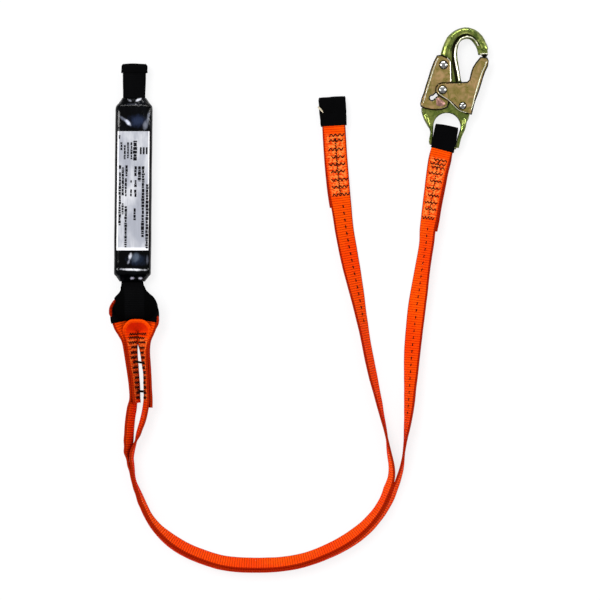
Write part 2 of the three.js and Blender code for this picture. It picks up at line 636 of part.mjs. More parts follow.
// --------------------------------------------------------------- snap hook
// The hook is built about z = 0 and its meshes are moved up to HOOK_Z.
const BODY_HALF = 5;           // half thickness of the forging
const BODY_BEVEL = 0.7;
const LEVER_IN = 5.4;          // lever side plates, from the mid-plane
const LEVER_OUT = 7;
const GATE_IN = 7.4;           // gate side plates, from the mid-plane
const GATE_OUT = 9;
const PLATE_BEVEL = 0.3;
const WEB_INSET = 0.4;         // a plate's web stops short of its outer faces
const GATE_PIVOT = [176.87, 209.82];
const LEVER_PIVOT = [156.35, 254.1];
const LOCK_PIN = [155.27, 227.1];
const LEVER_HOLE = { centre: [143.82, 218.35], radius: 3.5 };
const PIVOT_HOLE_RADIUS = 2.75;
const LOCK_PIN_HOLE_RADIUS = 2.55;
const SLOT_RADIUS = 2.9;
const BODY_CUT_HALF = 8;       // half lengths of the cutters
const PLATE_CUT_HALF = 12;
const GATE_TRAVEL = 24;        // degrees
const LEVER_RATIO = 0.37;      // lever turn for each degree of the gate
const HEAD_CLEAR = 0.3;        // plate face to rivet head
const BAR_RADIUS = 4.3;
const BAR_HALF_LENGTH = 14.1;
const EYE_TURN = Math.atan2(-0.179, 0.984);
const EYE_ARCH = { radius: 14.7, centre: 18.4, steps: 12 };
const POCKET = { radius: 5, halfDepth: 3.2, slotLength: 14, slotWidth: 3.2, slotOffset: 3.4 };
const SPRING = { wire: 0.45, radius: 3.6, turns: 3.5, pitch: 1.25, leg: 4.5, steps: 72 };

// inner edge of the eye's +X arm: across from the bar's middle, away from the
// leg. The other arm mirrors it
const EYE_ARM = [[12.85, 3], [13.2, 8], [14, 13], [14.6, 18]];

// Outlines below are x, y.
// forging: outside of the crown, -X side of the shank, down to the eye
const BODY_LEFT = [
  [204.19, 264.9], [203.87, 269.76], [202.79, 275.7], [200.95, 280.56], [198.25, 285.2],
  [194.15, 289.63], [188.75, 292.87], [183.35, 294.38], [179.03, 294.6], [174.71, 293.3],
  [169.31, 290.93], [163.91, 287.8], [160.13, 283.8], [157.43, 278.4], [155.27, 273],
  [153.65, 267.6], [152.57, 262.2], [151.38, 255.72], [150.19, 248.16], [149.76, 240.6],
  [150.09, 235.2], [152.03, 232.61], [160.24, 232.18], [162.18, 230.45], [162.07, 227.86],
  [159.59, 222.78], [157.65, 216.84], [154.84, 211.87], [149.22, 210.79], [140.15, 210.04],
  [134.1, 209.06], [132.27, 207.12], [132.48, 203.88], [133.67, 199.56], [135.83, 194.16],
  [138.85, 189.84], [140.8, 185.95], [142.09, 181.74], [141.66, 178.5], [140.91, 174.72],
  [140.47, 171.48], [141.12, 168.46], [143.28, 167.38],
];
// forging: +X side from the eye up the shank, then the inside of the crown
const BODY_RIGHT = [
  [172.77, 164.35], [173.63, 167.59], [174.49, 171.48], [175.57, 175.37], [177.3, 179.47],
  [179.25, 183.36], [180.33, 187.03], [181.41, 192], [183.35, 195.67], [184.43, 200.64],
  [184.75, 205.5], [184.75, 209.82], [184.11, 214.68], [183.13, 219], [182.49, 225.48],
  [181.84, 233.04], [180.97, 235.09], [176.65, 234.98], [175.14, 237.36], [173.74, 246],
  [172.55, 253.56], [171.25, 262.2], [171.15, 269.76], [172.55, 276.02], [173.95, 278.83],
  [175.79, 280.56], [178.17, 281.75], [181.19, 282.4], [184.43, 281.96], [186.91, 280.24],
  [189.07, 277.43], [191.02, 274.51], [192.31, 271.49], [193.29, 268.03], [193.72, 264.9],
];
const GATE_OUTER_EDGE = [
  [196.53, 261.44], [202.68, 260.9], [203.76, 258.31], [203.01, 252.91], [200.09, 246.86],
  [197.82, 240.6], [196.31, 235.2], [194.15, 228.18], [191.88, 221.7], [189.72, 216.3],
  [187.99, 210.9],
];
const GATE_PLATE = [
  [155.27, 234.01], [160.02, 233.69], [163.91, 234.12], [174.71, 234.12], [182.27, 234.66],
  [185.08, 237.36], [186.91, 245.46], [188.75, 250.75], [192.21, 256.15],
  ...GATE_OUTER_EDGE,
  [186.91, 206.04], [185.94, 201.29], [181.19, 202.37], [176.87, 203.99], [173.63, 205.82],
  [170.39, 209.06], [167.15, 212.3], [162.83, 215.54], [158.51, 217.92], [153.54, 220.3],
  [150.09, 222.67], [148.57, 225.91], [148.9, 229.8], [151.6, 232.82],
];
const GATE_WEB = [
  ...GATE_OUTER_EDGE,
  [187.35, 207.77], [185.73, 207.98], [186.27, 211.22], [187.99, 216.84], [190.15, 222.24],
  [192.42, 228.72], [194.58, 235.63], [196.09, 241.14], [198.36, 247.51], [201.17, 253.34],
  [201.93, 257.88], [201.6, 258.96], [196.96, 259.5],
];
const LEVER_PLATE = [
  [149.87, 263.28], [153.76, 263.71], [161.75, 260.04], [163.59, 257.34], [164.13, 248.16],
  [164.45, 235.2], [163.48, 228.72], [162.18, 221.16], [161.32, 213.6], [159.81, 208.96],
  [154.19, 206.69], [148.79, 206.26], [142.31, 206.8], [135.83, 208.2], [132.59, 209.71],
  [132.27, 211.87], [133.67, 217.92], [135.83, 223.32], [137.99, 230.88], [140.15, 237.36],
  [143.39, 248.16], [146.63, 256.8],
];
const LEVER_WEB = [
  [147.28, 257.34], [143.61, 247.94], [140.37, 237.14], [138.21, 230.66], [136.05, 223.1],
  [134.53, 218.35], [136.26, 217.92], [137.77, 222.46], [139.93, 230.02], [142.09, 236.5],
  [145.33, 247.3], [148.79, 256.58],
];

// a manifold needs shared vertices, so normals and uvs go before the merge
function solid(geometry) {
  for (const key of Object.keys(geometry.attributes)) {
    if (key !== 'position') geometry.deleteAttribute(key);
  }
  const merged = mergeVertices(geometry, 1e-4);
  return new wasm.Manifold(new wasm.Mesh({
    numProp: 3,
    vertProperties: new Float32Array(merged.attributes.position.array),
    triVerts: new Uint32Array(merged.index.array),
  }));
}

function addHookPart(name, manifold, material) {
  const mesh = manifold.getMesh();
  const geometry = new THREE.BufferGeometry();
  geometry.setAttribute('position', new THREE.Float32BufferAttribute(mesh.vertProperties, 3));
  geometry.setIndex([...mesh.triVerts]);
  geometry.computeVertexNormals();
  addMesh(name, geometry, material).position.set(0, 0, HOOK_Z);
}

function slab(outline, z0, z1, bevel = 0) {
  const shape = new THREE.Shape(outline.map(([x, y]) => new THREE.Vector2(x, y)));
  const geometry = new THREE.ExtrudeGeometry(shape, {
    depth: z1 - z0 - 2 * bevel,
    bevelEnabled: bevel > 0,
    bevelThickness: bevel,
    bevelSize: bevel,
    bevelOffset: -bevel,
    bevelSegments: 1,
    steps: 1,
  });
  return solid(geometry.translate(0, 0, z0 + bevel));
}

// cylinder along Z
function pin([x, y], radius, halfLength, sides = 24) {
  const geometry = new THREE.CylinderGeometry(radius, radius, 2 * halfLength, sides);
  return solid(geometry.rotateX(Math.PI / 2).translate(x, y, 0));
}

// turn a point about a centre, angle in radians
function turn([x, y], [centreX, centreY], angle) {
  const cos = Math.cos(angle);
  const sin = Math.sin(angle);
  const [dx, dy] = [x - centreX, y - centreY];
  return [centreX + dx * cos - dy * sin, centreY + dx * sin + dy * cos];
}

// point in the eye: across along the webbing bar, up away from the leg
const eyePoint = (across, up) => turn([BAR[0] + across, BAR[1] + up], BAR, EYE_TURN);

function bodyOutline() {
  const leftArm = EYE_ARM.map(([across, up]) => eyePoint(-across, up));
  const rightArm = EYE_ARM.map(([across, up]) => eyePoint(across, up)).reverse();
  const { radius, centre, steps } = EYE_ARCH;
  const arch = Array.from({ length: steps + 1 }, (_, k) => {
    const angle = Math.PI - Math.PI * k / steps;
    return eyePoint(radius * Math.cos(angle), centre + radius * Math.sin(angle));
  });
  return [...BODY_LEFT, ...leftArm, ...arch, ...rightArm, eyePoint(13.4, -2.6), ...BODY_RIGHT];
}

// round spring pocket, with a slot to the forging's edge towards side * X
function cutSpringPocket(body, pivot, side) {
  const { radius, halfDepth, slotLength, slotWidth, slotOffset } = POCKET;
  const slot = new THREE.BoxGeometry(slotLength, slotWidth, 2 * halfDepth);
  slot.translate(pivot[0] + side * slotLength / 2, pivot[1] - side * slotOffset, 0);
  return body.subtract(pin(pivot, radius, halfDepth)).subtract(solid(slot));
}

// forging: crown, shank, shoulders and an eye closed by the webbing bar
function hookBody() {
  const bar = new THREE.CylinderGeometry(BAR_RADIUS, BAR_RADIUS, 2 * BAR_HALF_LENGTH, 28);
  bar.rotateZ(Math.PI / 2 + EYE_TURN).translate(BAR[0], BAR[1], 0);
  let body = slab(bodyOutline(), -BODY_HALF, BODY_HALF, BODY_BEVEL).add(solid(bar));
  for (const pivot of [GATE_PIVOT, LEVER_PIVOT]) {
    body = body.subtract(pin(pivot, PIVOT_HOLE_RADIUS, BODY_CUT_HALF));
  }
  body = cutSpringPocket(body, GATE_PIVOT, 1);
  return cutSpringPocket(body, LEVER_PIVOT, -1);
}

// two side plates joined by a web
function platePair(outline, web, inner, outer) {
  return slab(outline, inner, outer, PLATE_BEVEL)
    .add(slab(outline, -outer, -inner, PLATE_BEVEL))
    .add(slab(web, -outer + WEB_INSET, outer - WEB_INSET));
}

// gate: its web runs along the outer, +X edge
function gate() {
  return platePair(GATE_PLATE, GATE_WEB, GATE_IN, GATE_OUT)
    .subtract(pin(GATE_PIVOT, PIVOT_HOLE_RADIUS, PLATE_CUT_HALF))
    .subtract(pin(LOCK_PIN, LOCK_PIN_HOLE_RADIUS, PLATE_CUT_HALF));
}

// lock lever: a thumb web along the -X edge, and a slot that follows the lock
// pin as gate and lever turn, from 2 degrees before the travel to its end
function lockLever() {
  let lever = platePair(LEVER_PLATE, LEVER_WEB, LEVER_IN, LEVER_OUT)
    .subtract(pin(LEVER_PIVOT, PIVOT_HOLE_RADIUS, PLATE_CUT_HALF))
    .subtract(pin(LEVER_HOLE.centre, LEVER_HOLE.radius, PLATE_CUT_HALF));
  for (let degrees = -2; degrees <= GATE_TRAVEL + 1; degrees += 1.5) {
    const onGate = turn(LOCK_PIN, GATE_PIVOT, degToRad(degrees));
    const onLever = turn(onGate, LEVER_PIVOT, degToRad(-degrees * LEVER_RATIO));
    lever = lever.subtract(pin(onLever, SLOT_RADIUS, PLATE_CUT_HALF, 20));
  }
  return lever;
}

// rivet with a domed head on both ends; under: mid-plane to underside of head
function rivet([x, y], { shank, head, under, rise }) {
  const half = [
    [shank, under], [head, under], [head * 0.88, under + rise * 0.5],
    [head * 0.55, under + rise * 0.9], [0, under + rise],
  ];
  const mirrored = half.map(([radius, height]) => [radius, -height]).reverse();
  const profile = [...mirrored, ...half].map((point) => new THREE.Vector2(...point));
  const geometry = new THREE.LatheGeometry(profile, 28);
  return solid(geometry.rotateX(Math.PI / 2).translate(x, y, 0));
}

// centre line of a torsion spring: a straight leg, then the coil
class Coil extends THREE.Curve {
  constructor([x, y], legAngle) {
    super();
    Object.assign(this, { x, y, legAngle });
  }

  getPoint(u, target = new THREE.Vector3()) {
    const { radius, turns, pitch, leg } = SPRING;
    const pastLeg = u * (2 * Math.PI * turns * radius + leg) - leg;
    const wound = Math.max(0, pastLeg) / radius;
    const back = Math.max(0, -pastLeg);
    const angle = this.legAngle - Math.PI / 2 - wound;
    return target.set(
      this.x + radius * Math.cos(angle) + back * Math.cos(this.legAngle),
      this.y + radius * Math.sin(angle) + back * Math.sin(this.legAngle),
      pitch * (wound / (2 * Math.PI) - turns / 2),
    );
  }
}

// torsion spring round a rivet, in the forging's pocket
function spring(pivot, legAngle) {
  const section = Array.from({ length: 6 }, (_, k) => {
    const angle = k * Math.PI / 3;
    return new THREE.Vector2(SPRING.wire * Math.cos(angle), SPRING.wire * Math.sin(angle));
  });
  const shape = new THREE.Shape(section);
  shape.closePath();
  return solid(new THREE.ExtrudeGeometry(shape, {
    steps: SPRING.steps,
    bevelEnabled: false,
    extrudePath: new Coil(pivot, legAngle),
  }));
}

const gateHead = { under: GATE_OUT + HEAD_CLEAR };
const leverHead = { under: LEVER_OUT + HEAD_CLEAR };
addHookPart('hook_body', hookBody(), 'forging');
addHookPart('gate', gate(), 'plate');
addHookPart('lock_lever', lockLever(), 'plate');
addHookPart('gate_rivet',
  rivet(GATE_PIVOT, { shank: 2.4, head: 3.4, rise: 1.5, ...gateHead }), 'rivet');
addHookPart('lock_pin_rivet',
  rivet(LOCK_PIN, { shank: 2.2, head: 4.1, rise: 1.6, ...gateHead }), 'rivet');
addHookPart('lever_rivet',
  rivet(LEVER_PIVOT, { shank: 2.4, head: 4.1, rise: 1.7, ...leverHead }), 'rivet');
addHookPart('gate_spring', spring(GATE_PIVOT, 0), 'spring');
addHookPart('lever_spring', spring(LEVER_PIVOT, Math.PI), 'spring');

export default root;
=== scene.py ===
# Shock absorbing lanyard, laid out flat on the floor (Z up).
# The absorber pack lies at -X with its harness loop towards +Y. Both legs start at the
# yoke below it, pass the bight at -Y and climb at +X: leg A to the snap hook, leg B to
# a free eye. Lengths are millimetres until a mesh is made; shaders read metres.
import math

import bmesh
import bpy
import numpy as np
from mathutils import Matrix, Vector, noise


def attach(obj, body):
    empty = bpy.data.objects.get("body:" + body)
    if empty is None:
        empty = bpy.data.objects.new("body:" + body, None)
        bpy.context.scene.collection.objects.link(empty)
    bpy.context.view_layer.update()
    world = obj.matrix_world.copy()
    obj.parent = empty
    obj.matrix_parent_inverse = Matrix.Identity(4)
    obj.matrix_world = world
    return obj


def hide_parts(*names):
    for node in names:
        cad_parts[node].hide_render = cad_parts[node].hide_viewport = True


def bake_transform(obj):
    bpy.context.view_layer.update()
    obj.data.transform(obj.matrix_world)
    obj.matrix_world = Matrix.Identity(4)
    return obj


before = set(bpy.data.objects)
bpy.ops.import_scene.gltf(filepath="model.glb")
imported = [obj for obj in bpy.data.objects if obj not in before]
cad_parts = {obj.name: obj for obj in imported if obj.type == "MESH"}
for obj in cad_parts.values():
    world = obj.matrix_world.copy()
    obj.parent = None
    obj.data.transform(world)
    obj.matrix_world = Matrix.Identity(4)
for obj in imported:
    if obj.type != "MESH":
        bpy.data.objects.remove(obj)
bpy.context.view_layer.update()

MM = 0.001
TURN = 2 * math.pi
WEB_WIDTH, WEB_THICK = 25.0, 2.5     # leg webbing
RIB = 2.6                            # its rib pitch
PLY_GAP = 0.3                        # between the two plies of a sewn end
SLEEVE_WALL, SLEEVE_CLEAR = 0.8, 0.25
LOOP_THICK, LOOP_WIDTH, LOOP_RIB = 2.0, 24.0, 2.2
PACK_MID_Z, PACK_CORNER = 11.2, 6.0
PACK_HALF_WIDTH, PACK_HALF_HEIGHT = 20.0, 11.0
PACK_TOP_Y, PACK_LOW_Y = 199.56, 32.16
HOOK_Z = 11.2
HINGE_A, HINGE_B = (113.47, -164.4), (95.55, -151.44)
TOP_HINGE_Y = 220.62

# Leg centre lines from yoke to end: x, y and the lean of the webbing in degrees.
LEG_A = np.array([
    (-161.28, -115.8, 78), (-161.28, -106.08, 78), (-161.6, -93.12, 79.5), (-162.03, -80.16, 80.5),
    (-163.11, -67.2, 78.5), (-164.41, -54.24, 75), (-164.3, -43.44, 70), (-162.76, -34.8, 60),
    (-160.99, -27.78, 55), (-159.69, -20.76, 55), (-159.09, -14.28, 57), (-159.77, -9.2, 60),
    (-163.01, -4.88, 60), (-167.87, -1.54, 60), (-177.05, 0.41, 60), (-186.23, -1.54, 60),
    (-191.09, -4.88, 57), (-193.83, -9.2, 53), (-193.21, -14.28, 47), (-192.59, -20.76, 46),
    (-190.74, -27.78, 49), (-187.76, -34.8, 56), (-184.76, -43.44, 64), (-183.42, -54.24, 69),
    (-181.8, -67.2, 71), (-180.18, -80.16, 73), (-178.77, -93.12, 74.5), (-178.45, -106.08, 75.5),
    (-179.96, -115.8, 70.5), (-181.47, -125.52, 70.5), (-182.23, -132, 70.5),
    (-182.77, -138.48, 70.5), (-183.2, -144.96, 70.5), (-183.63, -151.44, 70.5),
    (-183.96, -157.92, 74), (-185.35, -164.4, 80), (-184.76, -171.05, 90), (-183.65, -177.81, 90),
    (-181.49, -184.19, 90), (-180.2, -190.65, 90), (-178.54, -197.27, 90), (-176.85, -204.06, 91),
    (-174.65, -210.69, 92), (-172.75, -217.44, 92.5), (-169.78, -224.04, 93),
    (-166.79, -230.71, 93), (-163.16, -237.53, 93), (-158.78, -244.52, 94), (-153.13, -251.72, 94),
    (-146.07, -259.06, 95), (-137.61, -266.32, 95), (-126.13, -273.65, 95), (-111.53, -280.57, 95),
    (-89.28, -288.02, 95), (-70.1, -291.63, 94), (-52.24, -292.53, 94), (-34.63, -292.36, 94),
    (-20.02, -291.41, 94), (1.09, -287.85, 94.5), (17.94, -282.75, 95), (32.41, -276.91, 96),
    (44.68, -271.17, 96.5), (55.85, -264.85, 97), (64.79, -258.56, 98), (72.55, -252.01, 98.5),
    (79.19, -245.33, 99), (84.8, -238.78, 99), (90.01, -231.99, 99), (94.13, -225.09, 100),
    (97.89, -218.22, 101), (100.77, -211.73, 102), (103.65, -203.28, 102), (106.24, -196.8, 100.5),
    (108.4, -190.32, 99), (110.34, -183.84, 97.5), (111.75, -177.36, 95), (112.72, -170.88, 92.5),
    (113.47, -164.4, 91), (114.23, -157.92, 89), (115.09, -151.44, 87), (115.96, -144.96, 84),
    (116.82, -138.48, 80), (117.58, -132, 77), (118.23, -125.52, 74), (118.77, -119.04, 70.5),
    (119.31, -112.56, 68), (119.74, -106.08, 66), (120.39, -93.12, 62), (121.14, -80.16, 57),
    (121.79, -67.2, 52.5), (122.65, -54.24, 48.5), (123.95, -41.28, 46), (125.25, -28.32, 44.5),
    (126.65, -15.36, 43), (128.27, -2.4, 43.5), (130.21, 10.56, 46), (132.05, 23.52, 49.5),
    (133.99, 36.48, 52.5), (136.15, 49.44, 54.5), (138.21, 62.4, 54), (140.15, 75.36, 50),
    (142.09, 88.32, 45.5), (143.93, 101.28, 43), (145.98, 114.24, 39), (148.03, 127.2, 34),
    (150.09, 140.16, 29), (152.25, 150.96, 21), (154.41, 160.68, 9), (155.7, 164.46, 1.5),
    (156.67, 169.54, 0), (158.46, 179.36, 0),
])
LEG_B = np.array([
    (-174.89, -110.94, 104.3), (-175.39, -106.08, 105), (-176.13, -93.12, 106.5),
    (-177.41, -80.16, 108), (-179.13, -67.2, 112), (-180.41, -54.24, 115.5),
    (-181.19, -43.44, 122.5), (-181.94, -36.96, 128.5), (-181.82, -31.56, 129),
    (-179.47, -28.1, 125), (-174.99, -27.19, 121), (-169.54, -28.3, 125), (-166.53, -32.1, 128.5),
    (-166.69, -36.96, 126.5), (-167.5, -43.44, 122), (-167, -54.24, 109), (-166.09, -67.2, 103),
    (-164.79, -80.16, 100.5), (-164.45, -93.12, 101), (-164.14, -106.08, 102),
    (-165.2, -115.8, 102), (-167.11, -125.52, 102), (-168.9, -132, 101), (-171.21, -138.48, 99.5),
    (-173.31, -144.96, 98), (-175.65, -151.44, 91.5), (-177.69, -157.92, 87),
    (-179.13, -164.4, 84), (-179.15, -170.76, 84.5), (-177.86, -177.03, 85.5),
    (-177.13, -183.58, 87), (-176.7, -190.06, 88), (-175.54, -196.45, 88), (-173.11, -202.72, 86),
    (-170.43, -209.1, 84.5), (-167.97, -215.49, 82), (-164.99, -221.85, 82), (-161.91, -228.19, 82),
    (-158.41, -234.56, 80.5), (-154.02, -240.79, 78.5), (-148.46, -247.05, 76),
    (-141.28, -253.27, 72), (-133, -259.57, 69.3), (-122.24, -266.26, 68), (-108.48, -272.53, 66.5),
    (-87.16, -279.66, 65.5), (-69.13, -282.69, 64), (-52.04, -283.54, 64), (-34.87, -283.49, 64),
    (-21.03, -282.72, 65), (-0.76, -279.34, 66.5), (15.12, -274.52, 67.6), (28.91, -268.82, 67.6),
    (40.6, -263.24, 67), (51.15, -257.17, 67.5), (59.47, -251.31, 68.5), (66.74, -245.33, 70),
    (72.92, -239.27, 71.5), (78.02, -233.22, 72.8), (82.62, -226.82, 74), (86.41, -220.46, 75),
    (89.65, -214.1, 76), (92, -207.95, 76), (93.71, -203.28, 74), (95.87, -196.8, 75.5),
    (97.17, -190.32, 77.5), (97.6, -183.84, 79), (97.6, -177.36, 80.5), (97.27, -170.88, 82),
    (96.84, -164.4, 84), (96.3, -157.92, 86.5), (95.55, -151.44, 89.5), (94.36, -144.96, 92),
    (93.06, -138.48, 93.5), (91.55, -132, 95), (90.04, -125.52, 97), (88.63, -119.04, 99),
    (87.23, -112.56, 101), (85.72, -106.08, 102.5), (82.69, -93.12, 105.5), (79.67, -80.16, 108.5),
    (76.86, -67.2, 109.5), (74.27, -54.24, 109.5), (71.79, -41.28, 110.5), (69.41, -28.32, 113),
    (66.93, -15.36, 117), (64.55, -2.4, 121.5), (61.96, 10.56, 127), (59.26, 23.52, 132.5),
    (56.56, 36.48, 137), (53.97, 49.44, 140), (51.59, 62.4, 141.5), (49.32, 75.36, 142.5),
    (47.16, 88.32, 145), (45.22, 101.28, 150), (43.6, 114.24, 157.5), (42.3, 127.2, 164),
    (41.11, 140.16, 169), (40.03, 153.12, 172.5), (39.17, 166.08, 175), (38.41, 179.04, 178),
    (37.77, 189.84, 180), (36.9, 202.8, 180), (36.25, 213.06, 180),
])


# ------------------------------------------------------------------ curves
def smooth(start, end, value):
    """0 before start, 1 after end, eased between."""
    share = np.clip((np.asarray(value, float) - start) / (end - start), 0, 1)
    return share * share * (3 - 2 * share)


def unit(vectors):
    return vectors / np.maximum(np.linalg.norm(vectors, axis=-1, keepdims=True), 1e-12)


def ripple(x, y, z):
    return noise.noise(Vector((x, y, z)))


def headings(points):
    """Unit direction at each point, taken between its neighbours."""
    index = np.arange(len(points))
    after = points[np.minimum(index + 1, len(points) - 1)]
    return unit(after - points[np.maximum(index - 1, 0)])


def hermite(knots, values, query):
    """Catmull-Rom curve through values at knots, read at query."""
    values = np.asarray(values, float)
    column = (-1,) + (1,) * (values.ndim - 1)
    slope = np.empty_like(values)
    slope[1:-1] = (values[2:] - values[:-2]) / (knots[2:] - knots[:-2]).reshape(column)
    slope[0] = (values[1] - values[0]) / (knots[1] - knots[0])
    slope[-1] = (values[-1] - values[-2]) / (knots[-1] - knots[-2])
    i = np.clip(np.searchsorted(knots, query, side="right") - 1, 0, len(knots) - 2)
    span = knots[i + 1] - knots[i]
    part = ((query - knots[i]) / span).reshape(column)
    span = span.reshape(column)
    return ((2 * part**3 - 3 * part**2 + 1) * values[i]
            + (part**3 - 2 * part**2 + part) * span * slope[i]
            + (-2 * part**3 + 3 * part**2) * values[i + 1]
            + (part**3 - part**2) * span * slope[i + 1])


class Run:
    """A strap's centre line: centre, across, normal and width at each distance along it."""

    def __init__(self, centre, across, normal, width, dist=None):
        self.centre = np.array(centre, float)
        self.across = np.array(across, float)
        self.normal = np.array(normal, float)
        self.width = np.array(width, float) * np.ones(len(self.centre))
        if dist is None:
            steps = np.linalg.norm(np.diff(self.centre, axis=0), axis=1)
            dist = np.concatenate([[0], np.cumsum(steps)])
        self.dist = dist

    def fine(self, step):
        """The same line at even steps."""
        keep = np.concatenate([[True], np.diff(self.dist) > 1e-4])
        knots = self.dist[keep]
        count = max(2, int(round(knots[-1] / step)) + 1)
        query = np.linspace(0, knots[-1], count)
        across = unit(hermite(knots, self.across[keep], query))
        normal = hermite(knots, self.normal[keep], query)
        normal = unit(normal - (normal * across).sum(1, keepdims=True) * across)
        return Run(hermite(knots, self.centre[keep], query), across, normal,
                   hermite(knots, self.width[keep], query))

    def cut(self, mask):
        return Run(self.centre[mask], self.across[mask], self.normal[mask],
                   self.width[mask], self.dist[mask])

    def face_point(self, dist, offset, side, lift):
        """Point and normal on one face, offset across the strap."""
        centre, across, normal = (
            np.array([np.interp(dist, self.dist, values[:, k]) for k in range(3)])
            for values in (self.centre, self.across, self.normal))
        normal = unit(normal)
        return centre + unit(across) * offset + normal * side * lift, normal * side

    def surface(self, offsets, heights):
        """Points at offsets across and heights above each station."""
        return (self.centre[:, None, :] + self.across[:, None, :] * offsets[..., None]
                + self.normal[:, None, :] * heights[..., None])

    def near(self, x, y):
        """Distance along the run where it is nearest that place."""
        away = np.linalg.norm(self.centre[:, :2] - np.array((x, y)), axis=1)
        return float(self.dist[np.argmin(away)])

    def at_y(self, y):
        return float(self.dist[np.argmin(np.abs(self.centre[:, 1] - y))])


# ------------------------------------------------------------------ meshes
def shade_smooth(mesh, on=True):
    mesh.polygons.foreach_set("use_smooth", [on] * len(mesh.polygons))


def link(name, mesh):
    thing = bpy.data.objects.new(name, mesh)
    bpy.context.scene.collection.objects.link(thing)
    return thing


def make(name, verts, faces, uv, material, smooth_faces=True):
    """Mesh object from millimetre points, with its normals turned outward."""
    mesh = bpy.data.meshes.new(name)
    mesh.from_pydata((np.asarray(verts, float) * MM).tolist(), [], faces)
    mesh.validate()
    if uv is not None:
        layer = mesh.uv_layers.new(name="UVMap")
        corners = np.empty(len(mesh.loops), np.int32)
        mesh.loops.foreach_get("vertex_index", corners)
        layer.data.foreach_set("uv", np.asarray(uv, np.float32)[corners].ravel())
    shade_smooth(mesh, smooth_faces)
    mesh.update()
    mesh.materials.append(material)
    shape = bmesh.new()
    shape.from_mesh(mesh)
    bmesh.ops.recalc_face_normals(shape, faces=shape.faces[:])
    shape.to_mesh(mesh)
    shape.free()
    return link(name, mesh)


def loft_faces(rows, cols, base=0, flip=False, wrap=False):
    """Quads between closed rings; wrap joins the last ring to the first."""
    faces = []
    for i in range(rows if wrap else rows - 1):
        here, there = base + i * cols, base + ((i + 1) % rows) * cols
        for k in range(cols):
            k2 = (k + 1) % cols
            quad = (here + k, here + k2, there + k2, there + k)
            faces.append(quad[::-1] if flip else quad)
    return faces


def solid_faces(rows, cols, base=0):
    last = base + (rows - 1) * cols
    return loft_faces(rows, cols, base) + [tuple(range(base, base + cols))[::-1],
                                           tuple(range(last, last + cols))]


def loft(name, points, uv, material):
    """Closed solid through rings of points."""
    rows, cols = points.shape[:2]
    return make(name, points.reshape(-1, 3), solid_faces(rows, cols), uv.reshape(-1, 2), material)


def shell(name, outer, inner, uv, material):
    """Open-ended tube with a wall: outer surface, inner surface and two end rings."""
    rows, cols = outer.shape[:2]
    size, last = rows * cols, (rows - 1) * cols
    faces = loft_faces(rows, cols) + loft_faces(rows, cols, size, True)
    for k in range(cols):
        k2 = (k + 1) % cols
        faces.append((k2, k, size + k, size + k2))
        faces.append((last + k, last + k2, size + last + k2, size + last + k))
    verts = np.concatenate([outer.reshape(-1, 3), inner.reshape(-1, 3)])
    return make(name, verts, faces, np.concatenate([uv.reshape(-1, 2)] * 2), material)


def piece(thing, body, slot, *nodes):
    """Tell the frame which body a piece rides and what it replaces; slot is not used."""
    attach(thing, body)
    if nodes:
        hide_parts(*nodes)
    return thing


# Columns across a strap, as shares of the half width, and the share of the half
# thickness at each; then both taken once round the section.
COLS = np.array([-1, -0.985, -0.955, -0.91, -0.86, -0.8, -0.62, -0.42, -0.21, 0,
                 0.21, 0.42, 0.62, 0.8, 0.86, 0.91, 0.955, 0.985, 1])
TALL = np.array([0.12, 0.62, 0.93, 1.04, 0.9, 0.99, 1, 1, 1, 1,
                 1, 1, 1, 0.99, 0.9, 1.04, 0.93, 0.62, 0.12])
SPREAD = np.concatenate([COLS, COLS[::-1]])
RAISE = np.concatenate([TALL, -TALL[::-1]])


def strap(name, run, thick, material, rib=RIB, rib_height=0.16, crown=0.0, wobble=0.0,
          seed=0.0, push=None, calm_at=None):
    """Woven strap with rounded selvedges and transverse ribs on both faces.

    crown domes the section, wobble waves the strap, push moves its columns sideways
    and the ribs fade round the distance calm_at.
    """
    offsets = np.outer(run.width / 2, SPREAD)
    flat = np.clip((0.86 - np.abs(SPREAD)) / 0.05, 0.35, 1)
    wave = np.cos(TURN * run.dist / rib)
    if calm_at is not None:
        wave = wave * (1 - 0.9 * smooth(20, 10, np.abs(run.dist - calm_at)))
    level = np.ones(len(run.dist))
    heights = np.outer(level, RAISE * thick / 2)
    heights += rib_height * np.outer(wave, np.sign(RAISE) * flat)
    heights += np.outer(level * crown, 0.45 - SPREAD**2)
    if push is not None:
        offsets += push(run)
    # selvedge threads bulge at half the rib pitch
    threads = 0.10 * np.cos(TURN * run.dist / (rib / 2))
    offsets += np.outer(threads, np.sign(SPREAD) * (np.abs(SPREAD) > 0.95))
    if wobble:
        rise = wobble * np.array([ripple(seed, dist * 0.045, 0.3) for dist in run.dist])
        twist = wobble * np.array([ripple(seed + 7, dist * 0.08, 1.7) for dist in run.dist])
        heights += np.outer(rise, 1 - 0.3 * SPREAD**2) + np.outer(twist, SPREAD**3)
    uv = np.stack([offsets, np.repeat(run.dist[:, None], len(SPREAD), 1)], -1)
    return loft(name, run.surface(offsets, heights), uv, material)


